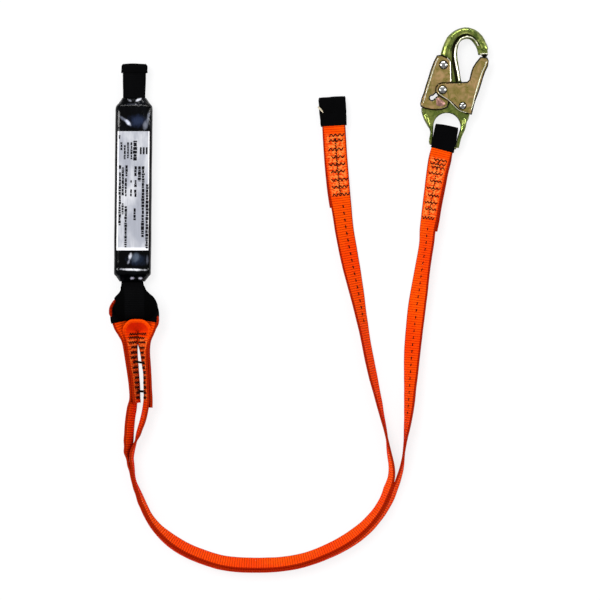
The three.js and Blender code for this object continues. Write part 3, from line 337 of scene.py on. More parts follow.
def sleeve(name, body, node, part, thick, step, seed, wrinkle,
           flare=lambda y: 0, clear=SLEEVE_CLEAR, bulge=0.3):
    """Tubular fabric sleeve round part of a strap, open at both ends."""
    run = Run(part.centre, part.across, part.normal, part.width).fine(step)
    dist, length = run.dist, run.dist[-1]
    hem_inset, hem_width, hem_height = 1.4, 1.2, 0.28
    edge, side = np.abs(SPREAD), np.sign(RAISE)
    layers = []
    for grow in (clear + SLEEVE_WALL, clear):
        offsets = np.outer(run.width / 2 + grow + flare(run.centre[:, 1]), SPREAD)
        heights = np.outer(np.ones(len(dist)), RAISE * (thick / 2 + grow))
        if grow > clear:
            swell = bulge * np.sin(np.pi * np.clip(dist / length, 0, 1)) ** 0.5
            heights += np.outer(swell, side * (1 - edge**3))
            hem = (np.exp(-((dist - hem_inset) / hem_width) ** 2)
                   + np.exp(-((dist - (length - hem_inset)) / hem_width) ** 2))
            heights += np.outer(hem_height * hem, side * (1 - edge**6))
            folds = wrinkle * np.array([
                [ripple(offset * 0.09 + seed * 13, at * 0.16, seed + (0.0 if tall > 0 else 9.0))
                 for offset, tall in zip(row, RAISE)] for row, at in zip(offsets, dist)])
            heights += folds * side * (1 - edge**4)
            offsets += 0.8 * folds * np.sign(SPREAD) * (edge > 0.9)
            uv = np.stack([offsets, np.repeat(dist[:, None], len(SPREAD), 1)], -1)
        layers.append(run.surface(offsets, heights))
    piece(shell(name, *layers, uv, cloth), body, "black_fabric", node)


# --------------------------------------------------------------- stitching
def sew(name, stitches, material, body, *nodes, rings=6):
    """Sewn threads; each stitch is start, end, normal, radius and rise."""
    sides = 6
    verts, faces, uv = [], [], []
    for start, end, normal, radius, rise in stitches:
        start, end = np.asarray(start, float), np.asarray(end, float)
        normal = unit(np.asarray(normal, float))
        along = unit(end - start)
        beside = unit(np.cross(along, normal))
        above = unit(np.cross(beside, along))
        length = np.linalg.norm(end - start)
        faces += solid_faces(rings, sides, len(verts))
        for i in range(rings):
            part = i / (rings - 1)
            sunk = rise * math.sin(math.pi * part) - 0.22 * radius
            centre = start + (end - start) * part + normal * sunk
            taper = 0.45 + 0.55 * math.sin(math.pi * (0.08 + 0.84 * part)) ** 0.6
            reach = radius * taper
            for k in range(sides):
                angle = TURN * k / sides
                verts.append(centre + beside * reach * math.cos(angle)
                             + above * reach * math.sin(angle))
                uv.append((radius * angle, length * part))
    return piece(make(name, verts, faces, uv, material), body, "thread", *nodes)


def bar_tacks(run, rows, side, thick, seed, spans=((-9, 9),), pitch=2.1, depth=3.0, radius=0.6):
    """Zigzag rows across a strap; spans give each row's ends, in turn."""
    rng = np.random.RandomState(seed)
    lift = thick / 2 + 0.12
    stitches = []
    for j, row in enumerate(rows):
        left, right = spans[j % len(spans)]
        count = int((right - left) / pitch)
        for i in range(count):
            zig = depth / 2 if i % 2 == 0 else -depth / 2
            jitter = rng.uniform(-0.18, 0.18, 2)
            start, normal = run.face_point(
                row + zig + jitter[0], left + (right - left) * i / count, side, lift)
            end, _ = run.face_point(
                row - zig + jitter[1], left + (right - left) * (i + 1) / count, side, lift)
            stitches.append((start, end, normal, radius, 0.22))
    return stitches


def dashes(run, first, last, pitch, length, offset, side, radius, slant):
    """A line of single stitches along leg webbing."""
    rng = np.random.RandomState(5)
    lift = WEB_THICK / 2 + 0.1
    stitches, dist = [], first
    while dist + length < last:
        jitter = rng.uniform(-0.15, 0.15)
        start, normal = run.face_point(dist, offset - slant / 2 + jitter, side, lift)
        end, _ = run.face_point(dist + length, offset + slant / 2 + jitter, side, lift)
        stitches.append((start, end, normal, radius, 0.2))
        dist += pitch
    return stitches


# --------------------------------------------------------------- materials
class Signal:
    """A shader output; each operator adds a math node."""

    def __init__(self, shader, socket):
        self.shader, self.socket = shader, socket

    def __add__(self, other):
        return self.shader.math("ADD", self, other)

    def __sub__(self, other):
        return self.shader.math("SUBTRACT", self, other)

    def __rsub__(self, other):
        return self.shader.math("SUBTRACT", other, self)

    def __mul__(self, other):
        return self.shader.math("MULTIPLY", self, other)

    def __abs__(self):
        return self.shader.math("ABSOLUTE", self)

    def scaled(self, factor, plus):
        return self.shader.math("MULTIPLY_ADD", self, factor, plus)

    def ramp(self, start, end, low=0.0, high=1.0):
        """Eases from low at start to high at end; start may be the larger."""
        return self.shader.node("MapRange", {
            "Value": self, "From Min": start, "From Max": end, "To Min": low, "To Max": high,
        }, interpolation_type="SMOOTHSTEP")


class Shader:
    def __init__(self, name, base):
        self.material = bpy.data.materials.new(name)
        self.material.use_nodes = True
        self.tree = self.material.node_tree
        self.tree.nodes.clear()
        self.output = self.tree.nodes.new("ShaderNodeOutputMaterial")
        self.principled = self.tree.nodes.new("ShaderNodeBsdfPrincipled")
        self.surface = Signal(self, self.principled.outputs[0])
        self.put(self.output.inputs["Surface"], self.surface)
        self.colour = base

    def put(self, socket, value):
        if isinstance(value, Signal):
            self.tree.links.new(value.socket, socket)
        elif isinstance(value, tuple):
            alpha = (1.0,) if len(value) == 3 and len(socket.default_value) == 4 else ()
            socket.default_value = value + alpha
        else:
            socket.default_value = value

    def node(self, kind, inputs=None, output=0, **settings):
        made = self.tree.nodes.new("ShaderNode" + kind)
        for key, value in settings.items():
            setattr(made, key, value)
        for key, value in (inputs or {}).items():
            self.put(made.inputs[key], value)
        return Signal(self, made.outputs[output])

    def math(self, operation, *values):
        return self.node("Math", dict(enumerate(values)), operation=operation)

    def swing(self, operation, angle):
        """SINE or COSINE brought into 0 to 1."""
        return self.math(operation, angle).scaled(0.5, 0.5)

    def split(self, vector):
        first = self.node("SeparateXYZ", {0: vector})
        return [Signal(self, socket) for socket in first.socket.node.outputs]

    def uv(self):
        return self.split(self.node("UVMap"))[:2]

    def place(self):
        return self.node("TexCoord", output="Object")

    def stretched(self, vector, factors):
        return self.node("VectorMath", {0: vector, 1: factors}, operation="MULTIPLY")

    def noise(self, vector, scale, detail=3.0, rough=0.55, distort=0.0):
        return self.node("TexNoise", {
            "Vector": vector, "Scale": scale, "Detail": detail, "Roughness": rough,
            "Distortion": distort}, output="Fac")

    def cloth_noise(self, across, along, **look):
        """Noise over the UV plane."""
        return self.noise(self.node("CombineXYZ", {0: across, 1: along, 2: 0.0}), 1.0, **look)

    def normal(self):
        return self.node("NewGeometry", output="Normal")

    def upness(self):
        """1 where a face lies level, 0 where it stands on edge."""
        return abs(self.split(self.normal())[2])

    def crevice(self, distance, closed, clear):
        """1 in deep gaps, 0 on open faces."""
        light = self.node("AmbientOcclusion", {"Distance": distance}, output="AO", samples=4)
        return light.ramp(start=clear, end=closed)

    def paint(self, amount, tint):
        self.colour = self.node("Mix", {0: amount, 6: self.colour, 7: tint}, 2, data_type="RGBA")

    def finish(self, roughness, specular=0.5, metallic=0.0,
               height=None, bump_strength=0.0, bump_depth=0.0):
        if height is not None:
            self.put(self.principled.inputs["Normal"], self.node("Bump", {
                "Strength": bump_strength, "Distance": bump_depth, "Height": height}))
        for key, value in (("Base Color", self.colour), ("Roughness", roughness),
                           ("Specular IOR Level", specular), ("Metallic", metallic)):
            self.put(self.principled.inputs[key], value)
        return self.material


def dimmed(colour, factor):
    return tuple(part * factor for part in colour)


def webbing(name, base, shade, deep, half, rib=RIB, edge=None, edge_on_shade_amount=0.9,
            calm_at=None, puffs=(), roughness=0.75):
    """Ribbed narrow webbing, with painted shade in its grooves, crevices and selvedges and where it
    stands on edge. UV is millimetres across and along.

    half is the half width, edge the painted shade colour where the strap stands on edge,
    calm_at the middle of a stretch with faint ribs and painted shade on its inner part, and puffs
    are stretches with pale lumps.
    """
    shader = Shader(name, base)
    across, along = shader.uv()
    off = abs(across)
    ribs = shader.swing("COSINE", along * (TURN / rib)).ramp(start=0.02, end=0.75)
    warp = shader.swing("SINE", across * (TURN / 0.9))
    twill = shader.swing("SINE", across * (TURN / 1.8) + along * (TURN / rib))
    selvedge = off.ramp(start=half * 0.82, end=half * 0.94)
    fuzz = shader.cloth_noise(across * 0.9, along * 0.45, detail=5.0, rough=0.7)
    patches = shader.cloth_noise(across * 0.03, along * 0.018)
    shader.paint(patches.ramp(start=0.3, end=0.7), shade)
    rib_share, selvedge_share = 1.0, 0.82
    if calm_at is not None:
        reach, side = 19.0, 1.0
        calm = abs(along - calm_at).ramp(start=reach, end=reach * 0.35)
        inboard = (across * side).ramp(start=9.8, end=7.0)
        rib_share = calm.scaled(-0.85, plus=1.0)
    # painted shade in the rib grooves, then dark and light fibres
    shader.paint((1.0 - ribs) * 0.55 * rib_share, deep)
    shader.paint(fuzz.ramp(start=0.55, end=0.75) * 0.35, deep)
    lighter = tuple(min(1.0, part * 1.3 + 0.0005) for part in base)
    shader.paint(fuzz.ramp(start=0.48, end=0.3) * 0.25, lighter)
    for first, last in puffs:
        zone = (along.ramp(start=first - 2, end=first + 2) * along.ramp(start=last + 2, end=last - 2)
                * off.ramp(start=half * 0.86, end=half * 0.6))
        lump = shader.cloth_noise(across * 0.30, along * 0.42, detail=2.0)
        pale = lump.ramp(start=0.44, end=0.58, low=0.05, high=0.85)
        shader.paint(zone * pale, (0.96, 0.25, 0.045))
        dark = lump.ramp(start=0.46, end=0.34, low=0.0, high=0.65)
        shader.paint(zone * dark, (0.42, 0.010, 0.0))
    # painted shade on the inner face round the crest at calm_at, with less painted shade on its
    # selvedge
    if calm_at is not None:
        shader.paint(calm * inboard * 0.82, (0.62, 0.013, 0.001))
        selvedge_share = calm.scaled(-0.7, plus=0.82)
    # painted shade along the rounded selvedges
    shader.paint(selvedge * selvedge_share, deep)
    # painted shade in crevices and where the plies meet, from an ambient occlusion mask
    shader.paint(shader.crevice(distance=0.004, closed=0.12, clear=0.72) * 0.78, deep)
    # painted shade where the strap stands on edge, by the slope of its normal
    shader.paint(shader.upness().ramp(start=0.17, end=0.05) * edge_on_shade_amount, edge or deep)
    return shader.finish(
        roughness=fuzz.ramp(start=0.2, end=0.8, low=roughness - 0.08, high=roughness + 0.12),
        specular=0.02, height=ribs * rib_share * 0.6 + (warp * 0.22 + (twill * 0.2 + fuzz * 0.6)),
        bump_strength=0.8, bump_depth=0.00022)


def leg_webbing_material(name, **look):
    # edge is the painted shade colour where the strap stands on edge
    return webbing(name, base=(1.0, 0.088, 0.0), shade=(0.98, 0.054, 0.0),
                   deep=(0.17, 0.001, 0.0), half=WEB_WIDTH / 2, edge=(0.60, 0.007, 0.001), **look)


def cloth_material():
    """Plain-weave tubular sleeve cloth, with lint."""
    base, light = (0.0008, 0.0008, 0.0009), (0.0022, 0.0022, 0.0026)
    yarn = TURN / 0.75
    shader = Shader("black_sleeve_cloth", base)
    across, along = shader.uv()
    weft = shader.math("SINE", across * yarn)
    weave = (weft * shader.math("SINE", along * yarn)).scaled(0.5, 0.5)
    lint = shader.noise(shader.place(), scale=420.0, detail=6.0, rough=0.75)
    cloud = shader.noise(shader.place(), scale=60.0)
    shader.paint(weave.ramp(start=0.2, end=0.9), light)
    shader.paint(lint.ramp(start=0.62, end=0.78) * 0.5, dimmed(light, 3.0))
    shader.paint(cloud.ramp(start=0.5, end=0.75) * 0.4, dimmed(base, 0.4))
    return shader.finish(roughness=0.93, specular=0.02, height=weave + lint * 0.8,
                         bump_strength=0.7, bump_depth=0.00018)


def thread_material(name, light, dark):
    """Twisted thread with stray pale fibres."""
    shader = Shader(name, dark)
    around, along = shader.uv()
    ply = shader.swing("SINE", around * 9.0 + along * (TURN / 0.55))
    fibres = shader.noise(shader.place(), scale=900.0, detail=4.0)
    shader.paint(ply, light)
    shader.paint(fibres.ramp(start=0.5, end=0.7) * 0.4, dimmed(light, 2.2))
    return shader.finish(roughness=0.8, specular=0.05, height=ply,
                         bump_strength=0.6, bump_depth=0.00012)


# Painted reflections and sheen on the film: x, y, radius across, radius along,
# turn in radians, tint and strength.
FILM_REFLECTIONS = (
    (-173.05, 193.08, 12, 7.5, 0.0, (0.010, 0.016, 0.040), 0.85),
    (-174.13, 44.04, 11, 6.5, 0.0, (0.012, 0.020, 0.042), 0.8),
    (-188.71, 195.24, 1.7, 6.0, 0.95, (0.22, 0.24, 0.31), 0.7),
    (-184.07, 191.68, 1.9, 4.4, 0.75, (0.70, 0.74, 0.86), 1.0),
    (-162.25, 196.86, 1.6, 6.5, -0.12, (0.30, 0.32, 0.38), 0.7),
    (-165.27, 188.76, 3.2, 5.0, -0.25, (0.20, 0.215, 0.26), 0.75),
    (-174.13, 192, 8.0, 5.0, 0.5, (0.022, 0.034, 0.075), 0.6),
    (-173.05, 216.19, 3.4, 1.5, 0.5, (0.80, 0.82, 0.88), 1.0),
    (-182.23, 215.54, 2.2, 1.3, -0.5, (0.36, 0.37, 0.42), 0.9),
    (-178.45, 211.44, 9.0, 0.8, 0.0, (0.05, 0.055, 0.075), 0.8),
    (-181.69, 47.28, 2.0, 4.0, -0.25, (0.80, 0.82, 0.90), 1.0),
    (-183.31, 41.88, 1.4, 3.6, -0.35, (0.34, 0.35, 0.42), 0.8),
    (-176.29, 46.2, 6.0, 4.6, 0.5, (0.11, 0.14, 0.19), 0.75),
    (-163.33, 43.5, 1.4, 5.0, 0.0, (0.13, 0.14, 0.18), 0.7),
    (-177.8, 33.02, 13.2, 1.35, -0.03, (0.95, 0.96, 1.0), 1.0),
    (-191.63, 33.67, 1.9, 1.2, 0.0, (0.42, 0.43, 0.48), 0.9),
    (-179.53, 23.74, 2.6, 1.5, 0.0, (0.50, 0.47, 0.58), 0.9),
    (-170.89, 23.74, 2.2, 1.3, 0.0, (0.55, 0.54, 0.62), 0.9),
)


def film_material():
    """Shrunk plastic film, near black and glossy, with painted reflections and sheen over the folds.
    """
    shader = Shader("absorber_film", (0.0004, 0.0005, 0.0008))
    place = shader.place()
    x, y, z = shader.split(place)
    haze = shader.noise(shader.stretched(place, (1.0, 0.35, 1.0)),
                        scale=75.0, detail=4.0, rough=0.6, distort=0.6)
    fine = shader.noise(place, scale=480.0, detail=4.0, rough=0.7)
    grain = shader.noise(shader.stretched(place, (1.0, 0.6, 1.0)),
                         scale=190.0, detail=4.0, rough=0.6, distort=0.6)
    shader.paint(haze.ramp(start=0.45, end=0.75), (0.0016, 0.0022, 0.0045))
    upper_face = z.ramp(start=0.0135, end=0.0165)
    # painted reflections and sheen, on the upper face only
    for spot_x, spot_y, radius_x, radius_y, turn, tint, strength in FILM_REFLECTIONS:
        cosine, sine = math.cos(turn), math.sin(turn)
        side = x - spot_x * MM
        ahead = y - spot_y * MM
        short = side * (cosine / (radius_x * MM)) + ahead * (sine / (radius_x * MM))
        long = side * (-sine / (radius_y * MM)) + ahead * (cosine / (radius_y * MM))
        ragged = short * short + long * long + grain.scaled(2.6, plus=-1.3)
        shader.paint(ragged.ramp(start=1.5, end=-0.5) * upper_face * strength, tint)
    return shader.finish(
        roughness=haze.ramp(start=0.3, end=0.8, low=0.13, high=0.24), specular=0.12,
        height=haze * 1.0 + fine * 0.08, bump_strength=0.3, bump_depth=0.0008)


def label_material():
    """Silvery brushed sheet with a white border on its sides and lower end."""
    shader = Shader("silver_label", (0.34, 0.355, 0.40))
    place = shader.place()
    brushed = shader.noise(shader.stretched(place, (1.0, 0.05, 1.0)),
                           scale=900.0, detail=4.0, rough=0.6)
    cloud = shader.noise(shader.stretched(place, (1.0, 0.4, 1.0)), scale=55.0, distort=0.4)
    shader.paint(cloud.ramp(start=0.36, end=0.66), (0.60, 0.61, 0.63))
    shader.paint(brushed.ramp(start=0.4, end=0.7) * 0.35, (0.27, 0.28, 0.31))
    across, along = shader.uv()
    border = shader.math("MAXIMUM", abs(across).ramp(start=15.2, end=16.4),
                         along.ramp(start=57.54, end=55.92))
    shader.paint(border * 0.9, (0.95, 0.95, 0.95))
    return shader.finish(
        roughness=cloud.ramp(start=0.3, end=0.7, low=0.4, high=0.55), specular=0.15,
        height=brushed * 0.3 + cloud, bump_strength=0.25, bump_depth=0.0003)


def ink_material():
    shader = Shader("label_print", (0.001, 0.001, 0.0015))
    grain = shader.noise(shader.place(), scale=1400.0, rough=0.6)
    shader.paint(grain.ramp(start=0.35, end=0.7), (0.012, 0.012, 0.016))
    return shader.finish(roughness=0.8, specular=0.05, height=grain,
                         bump_strength=0.2, bump_depth=0.0001)


def zinc(name, base, bloom, patch, roughness, scale=70.0, rim=0.1):
    """Yellow passivated zinc: olive to straw gold with pink and green bloom, with painted sheen,
    highlights and shade.

    scale is the bloom's noise scale and rim the width of the painted shade line along the edges in
    millimetres.
    """
    light = base[0] > 0.1       # the darkest coat gets no painted sheen and no painted edge highlights
    shader = Shader(name, base)
    place = shader.place()
    cloud = shader.noise(place, scale=scale, detail=4.0, rough=0.6, distort=1.2)
    broad = shader.noise(shader.stretched(place, (1.0, 0.6, 1.0)),
                         scale=scale * 0.45, distort=0.8)
    grain = shader.noise(place, scale=1500.0, rough=0.6)
    scuff = shader.noise(shader.stretched(place, (1.0, 0.12, 1.0)),
                         scale=700.0, detail=5.0, rough=0.75)
    shader.paint(cloud.ramp(start=0.3, end=0.7), bloom)
    shader.paint(broad.ramp(start=0.5, end=0.75) * 0.7, patch)
    # painted sheen: paler where the surface turns away from the camera
    facing = shader.node("LayerWeight", {"Blend": 0.45}, output="Facing")
    shader.paint(facing * (0.25 if light else 0.0), (0.95, 0.88, 0.70))
    # painted shade on faces that slope or stand on edge
    sides = shader.upness().ramp(start=0.80, end=0.35, low=0.0, high=0.85)
    shader.paint(sides, dimmed(base, 0.10))
    # painted shade as a dark line along every edge, with painted highlights on it in places
    rounded = shader.node("Bevel", {"Radius": rim * MM}, samples=4)
    level = shader.node("VectorMath", {0: rounded, 1: shader.normal()}, "Value",
                        operation="DOT_PRODUCT")
    edge_band = level.ramp(start=0.995, end=0.88)
    shader.paint(edge_band * 0.96, dimmed(bloom, 0.03))
    edge_highlight = edge_band * (broad.ramp(start=0.50, end=0.60) * (0.8 if light else 0.0))
    shader.paint(edge_highlight * grain.ramp(start=0.3, end=0.6, low=0.35, high=0.9),
                 (0.93, 0.90, 0.80))
    scuffed = scuff.ramp(start=0.6, end=0.72) * (0.35 if light else 0.03)
    shader.paint(scuffed, (0.85, 0.80, 0.66))
    # painted shade in crevices and gaps between parts, from an ambient occlusion mask
    shader.paint(shader.crevice(distance=0.0032, closed=0.3, clear=0.9) * 0.96,
                 (0.012, 0.011, 0.007))
    return shader.finish(
        roughness=cloud.ramp(start=0.3, end=0.7, low=roughness - 0.04, high=roughness + 0.08),
        metallic=1.0, height=grain * 0.4 + cloud * 0.6, bump_strength=0.2, bump_depth=0.0004)


def steel(name, base, roughness):
    shader = Shader(name, base)
    place = shader.place()
    grain = shader.noise(place, scale=900.0, detail=4.0, rough=0.7)
    cloud = shader.noise(place, scale=220.0)
    shader.paint(cloud.ramp(start=0.35, end=0.65), dimmed(base, 0.72))
    shader.paint(grain.ramp(start=0.6, end=0.75) * 0.4, (0.35, 0.34, 0.30))
    return shader.finish(
        roughness=grain.ramp(start=0.3, end=0.7, low=roughness, high=roughness + 0.15),
        metallic=1.0, height=grain, bump_strength=0.18, bump_depth=0.0002)


black_webbing = webbing(
    "black_webbing", base=(0.0026, 0.0026, 0.003), shade=(0.0016, 0.0016, 0.0018),
    deep=(0.0004, 0.0004, 0.0004), half=12.0, rib=LOOP_RIB, roughness=0.9, edge_on_shade_amount=0.0)
tear_webbing = webbing(
    "tear_webbing_white", base=(0.62, 0.58, 0.47), shade=(0.5, 0.46, 0.37),
    deep=(0.2, 0.18, 0.13), half=17.0, rib=1.8, edge_on_shade_amount=0.0)
cloth = cloth_material()
brown = thread_material("brown_thread", (0.060, 0.008, 0.002), (0.012, 0.0015, 0.0005))
black = thread_material("black_thread", (0.012, 0.010, 0.010), (0.003, 0.002, 0.002))
cream = thread_material("cream_lining_thread", (0.72, 0.66, 0.50), (0.34, 0.28, 0.18))
film = film_material()
label = label_material()
ink = ink_material()
forged = zinc("zinc_forging", (0.16, 0.25, 0.040), (0.44, 0.50, 0.12), (0.060, 0.13, 0.02),
              roughness=0.28, scale=110.0, rim=1.3)
plated = zinc("zinc_plate", (0.50, 0.41, 0.09), (0.78, 0.50, 0.23), (0.26, 0.28, 0.05),
              roughness=0.3, scale=120.0, rim=0.9)
# painted highlight: bright cream bars laid along the lip, the nose and the plate edges
highlight_zinc = zinc("zinc_painted_highlight", (0.98, 0.95, 0.66), (1.0, 0.98, 0.82), (0.90, 0.94, 0.62),
              roughness=0.35)
# painted shadow: dark bars, leaves and rings put where there is only shade
shadow_zinc = zinc("zinc_shadow_edge", (0.006, 0.007, 0.002), (0.012, 0.010, 0.004),
             (0.004, 0.006, 0.002), roughness=0.5)
tabbed = zinc("zinc_tab", (0.34, 0.17, 0.14), (0.48, 0.27, 0.22), (0.20, 0.12, 0.07),
              roughness=0.42, rim=0.8)
rivet_steel = steel("rivet_steel", (0.52, 0.52, 0.50), roughness=0.2)
spring_wire = steel("spring_wire", (0.62, 0.63, 0.65), roughness=0.25)


# -------------------------------------------------------------------- legs
def leg_line(stations, lift=0.0, shift=0.0):
    """Centre, across, normal and heading of a leg resting on the floor.

    lift raises it and shift moves it to the right of its heading.
    """
    places, lean = stations[:, :2], np.radians(stations[:, 2:])
    heading = np.c_[headings(places), np.zeros(len(places))]
    right = np.c_[heading[:, 1], -heading[:, 0], heading[:, 2]]
    cosine, sine = np.cos(lean), np.sin(lean)
    upright = np.array([0, 0, 1.0])
    height = WEB_WIDTH / 2 * sine[:, 0] + WEB_THICK / 2 * np.abs(cosine[:, 0]) + lift
    centre = np.c_[places + right[:, :2] * np.reshape(shift, (-1, 1)), height]
    return centre, right * cosine + upright * sine, upright * cosine - right * sine, heading


def bight_gap(line_a, line_b):
    """Shift of leg B that lays its upper selvedge against leg A's round the bight."""
    edge_a, edge_b = (line[0] + line[1] * WEB_WIDTH / 2 for line in (line_a, line_b))
    edge_a = hermite(np.arange(len(edge_a)), edge_a, np.linspace(0, len(edge_a) - 1, 2400))
    apart = np.linalg.norm((edge_b[:, None] - edge_a[None])[..., :2], axis=2).min(1)
    x, y = LEG_B[:, 0], LEG_B[:, 1]
    gap = np.clip(apart - 1.7, 0, 3.2) * smooth(-157.92, -183.84, y)
    gap = gap * ((y < -157.92) & (x < 103.43))
    return np.convolve(np.pad(gap, 2, "edge"), [0.1, 0.2, 0.4, 0.2, 0.1], "valid")


def folded_leg(line, tail_y, bend, rise, parting, climb, end_width=WEB_WIDTH):
    """Main ply, end bend and tail ply of a leg, and where its main ply ends.

    bend is the end bend's radius; over the distances parting and climb, counted back
    from the end, the plies part and their middle comes to the height rise.
    """
    centre, across, normal, heading = line
    steps = 12
    end_heading = heading[-1]
    ahead = (centre - centre[-1]) @ end_heading
    up = normal * np.where(normal[:, 2:3] >= 0, 1, -1)
    right_side = centre[:, 0] > -100
    doubled = smooth(tail_y - 14, tail_y - 3, centre[:, 1]) * right_side
    closed = (WEB_THICK + PLY_GAP) / 2
    apart = closed + (bend - closed) * smooth(*parting, ahead)
    middle = centre.copy()
    level = centre[:, 2] + up[:, 2] * closed * doubled
    middle[:, 2] = level + (rise - level) * smooth(*climb, ahead)
    main = middle + up * (apart * doubled)[:, None]
    width = WEB_WIDTH + (end_width - WEB_WIDTH) * smooth(-30, -19, ahead) * (np.abs(ahead) < 200)
    angles = math.pi * np.arange(1, steps)[:, None] / steps
    spokes = up[-1] * np.cos(angles) + end_heading * np.sin(angles)
    tail = (centre[:, 1] > tail_y) & right_side
    run = Run(
        np.concatenate([main, main[-1] - up[-1] * bend + spokes * bend,
                        (middle - up * apart[:, None])[tail][::-1]]),
        np.concatenate([across, np.repeat(across[-1:], steps - 1, 0), across[tail][::-1]]),
        np.concatenate([normal, spokes * (1 if normal[-1][2] >= 0 else -1),
                        -normal[tail][::-1]]),
        np.concatenate([width, np.full(steps - 1, width[-1]), width[tail][::-1]]))
    return run, run.dist[len(main) - 1]


FREE_BEND = 4.4
line_a = leg_line(LEG_A, lift=4.2 * smooth(-49, -20, LEG_A[:, 1]) * (LEG_A[:, 0] < -140))
line_b = leg_line(LEG_B, shift=bight_gap(line_a, leg_line(LEG_B)))
run_a, end_a = folded_leg(line_a, tail_y=74.28, bend=7.2, rise=HOOK_Z,
                          parting=(-32, -13), climb=(-74, -18), end_width=22.5)
run_b, end_b = folded_leg(
    line_b, tail_y=96.96, bend=FREE_BEND,
    rise=FREE_BEND + WEB_THICK / 2 + SLEEVE_CLEAR + SLEEVE_WALL + 0.15,
    parting=(-42, -27), climb=(-60, -27))
run_a, run_b = run_a.fine(RIB / 4), run_b.fine(RIB / 4)
main_a, main_b = run_a.cut(run_a.dist <= end_a), run_b.cut(run_b.dist <= end_b)


def crest_push(run):
    """Pushes the +across selvedge of leg A out at two places on its yoke crest."""
    x, y = run.centre[:, 0], run.centre[:, 1]
    left = 3.8 * smooth(-18.06, -13.2, y) * smooth(4.08, -1.32, y) * (x < -183.85)
    right = 3.0 * smooth(-30.48, -22.92, y) * smooth(-14.28, -19.68, y)
    right = right * (x > -165.49) * (x < -138.49)
    return np.outer(left + right, np.clip(SPREAD - 0.8, 0, 1) / 0.2)


def leg_strap(leg, run, material, hinge, **look):
    """A whole leg, from the yoke to its end, as one strap."""
    thing = strap(leg + "_webbing", run, WEB_THICK, material, wobble=0.18, crown=0.25,
                  push=crest_push, **look)
    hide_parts(leg + "_lower_webbing", leg + "_upper_webbing")
    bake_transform(thing)


calm_at = main_b.near(-174.78, -27.24)
orange_a = leg_webbing_material(
    "orange_webbing_a", puffs=[(main_a.near(139.61, 89.4), main_a.near(151.49, 153.12))])
orange_b = leg_webbing_material(
    "orange_webbing_b", calm_at=calm_at,
    puffs=[(main_b.near(41.33, 113.16), main_b.near(38.09, 179.04)),
           (main_b.near(-179.53, -108.24), main_b.near(-181.69, -41.28)),
           (main_b.near(-164.95, -41.28), main_b.near(-164.41, -108.24))])
leg_strap("leg_a", run_a, orange_a, HINGE_A, seed=1)
leg_strap("leg_b", run_b, orange_b, HINGE_B, seed=5, calm_at=calm_at)


def end_stitching(end, leg, run, side, rows_y, spans, seed, seam, tracer):
    """Bar tacks and seam over a leg's sewn end, and the tracer line below them.

    seam holds pitch, length, offset and slant; tracer its first y, last y and offset.
    """
    rows = [run.at_y(y) for y in rows_y]
    pitch, length, offset, slant = seam
    stitches = bar_tacks(run, rows, side, WEB_THICK, seed, spans)
    stitches += dashes(run, rows[-1] + 0.5, rows[0] - 0.5, pitch, length, offset, side,
                       radius=0.62, slant=slant)
    sew(end + "_bar_tacks", stitches, brown, leg, end + "_stitching")
    first_y, last_y, offset = tracer
    stitches = dashes(run, run.at_y(first_y), run.at_y(last_y), pitch=7.4, length=3.2,
                      offset=offset, side=side, radius=0.8, slant=0.5)
    sew(leg + "_tracer_stitches", stitches, brown, leg)


end_stitching(
    "hook_end", "leg_a", main_a.cut(main_a.centre[:, 0] > 0), side=1,
    rows_y=(151.5, 147.18, 143.4, 136.92, 128.28, 120.72, 113.16, 105.6, 98.04, 88.32),
    spans=[(-5.5, 9.6), (-9.2, 9.0), (-7, 9.4), (-9.5, 8.6), (-6.0, 9.4), (-9.2, 9.4)],
    seed=11, seam=(2.6, 2.1, 0.4, 1.2), tracer=(-123.36, 84, 1.2))
# leg B arrives turned over, so its upper face is the side -1
end_stitching(
    "free_end", "leg_b", main_b.cut(main_b.centre[:, 0] > 0), side=-1,
    rows_y=(178.5, 172.56, 162.84, 154.74, 146.64, 139.08, 130.44, 122.34, 114.24),
    spans=[(-10.5, 6.0), (-9.0, 6.5), (-8.5, 7.5), (-9.5, 5.0), (-9.5, 8.5), (-8.5, 7.0),
           (-11.2, 7.5), (-10.5, 8.0), (-11.6, 9.0)],
    seed=21, seam=(2.7, 2.2, -0.6, 1.4), tracer=(-24, 108.84, -1.6))


def yoke_stitching():
    """Bar tacks on the two yoke limbs of leg B, and loose threads between them."""
    crest = main_b.near(-174.78, -28.75)
    rows_y = [-36.42, -40.74] + [-45.6 - 5.4 * i for i in range(12)]
    left = run_b.cut(run_b.dist < crest - 1)
    right = run_b.cut((run_b.dist > crest + 1) & (run_b.dist < crest + 130))
    for side, run, seed in (("left", left, 31), ("right", right, 41)):
        stitches = bar_tacks(run, sorted(run.at_y(y) for y in rows_y), -1, WEB_THICK, seed,
                             spans=[(-10.0, 5.5), (-10.5, 3.0), (-9.0, 7.0)],
                             pitch=1.9, depth=2.8, radius=0.55)
        sew(f"yoke_{side}_bar_tacks", stitches, brown, "yoke", f"yoke_{side}_stitching")
    # y, left x, right x, left z, right z, sag
    bridges = ((-66.12, -174.99, -165.92, 15.5, 16.5, 1.2),
               (-67.42, -174.35, -166.35, 14.2, 15.0, 0.8),
               (-97.01, -174.13, -165.92, 12.5, 13.5, 1.6),
               (-98.52, -173.48, -166.57, 11.5, 12.5, 1.0))
    sew("yoke_thread_bridges",
        [((left_x, y + 0.6, left_z), (right_x, y - 0.4, right_z), (0.1, -0.6, -0.8), 0.72, sag)
         for y, left_x, right_x, left_z, right_z, sag in bridges], black, "yoke", rings=10)


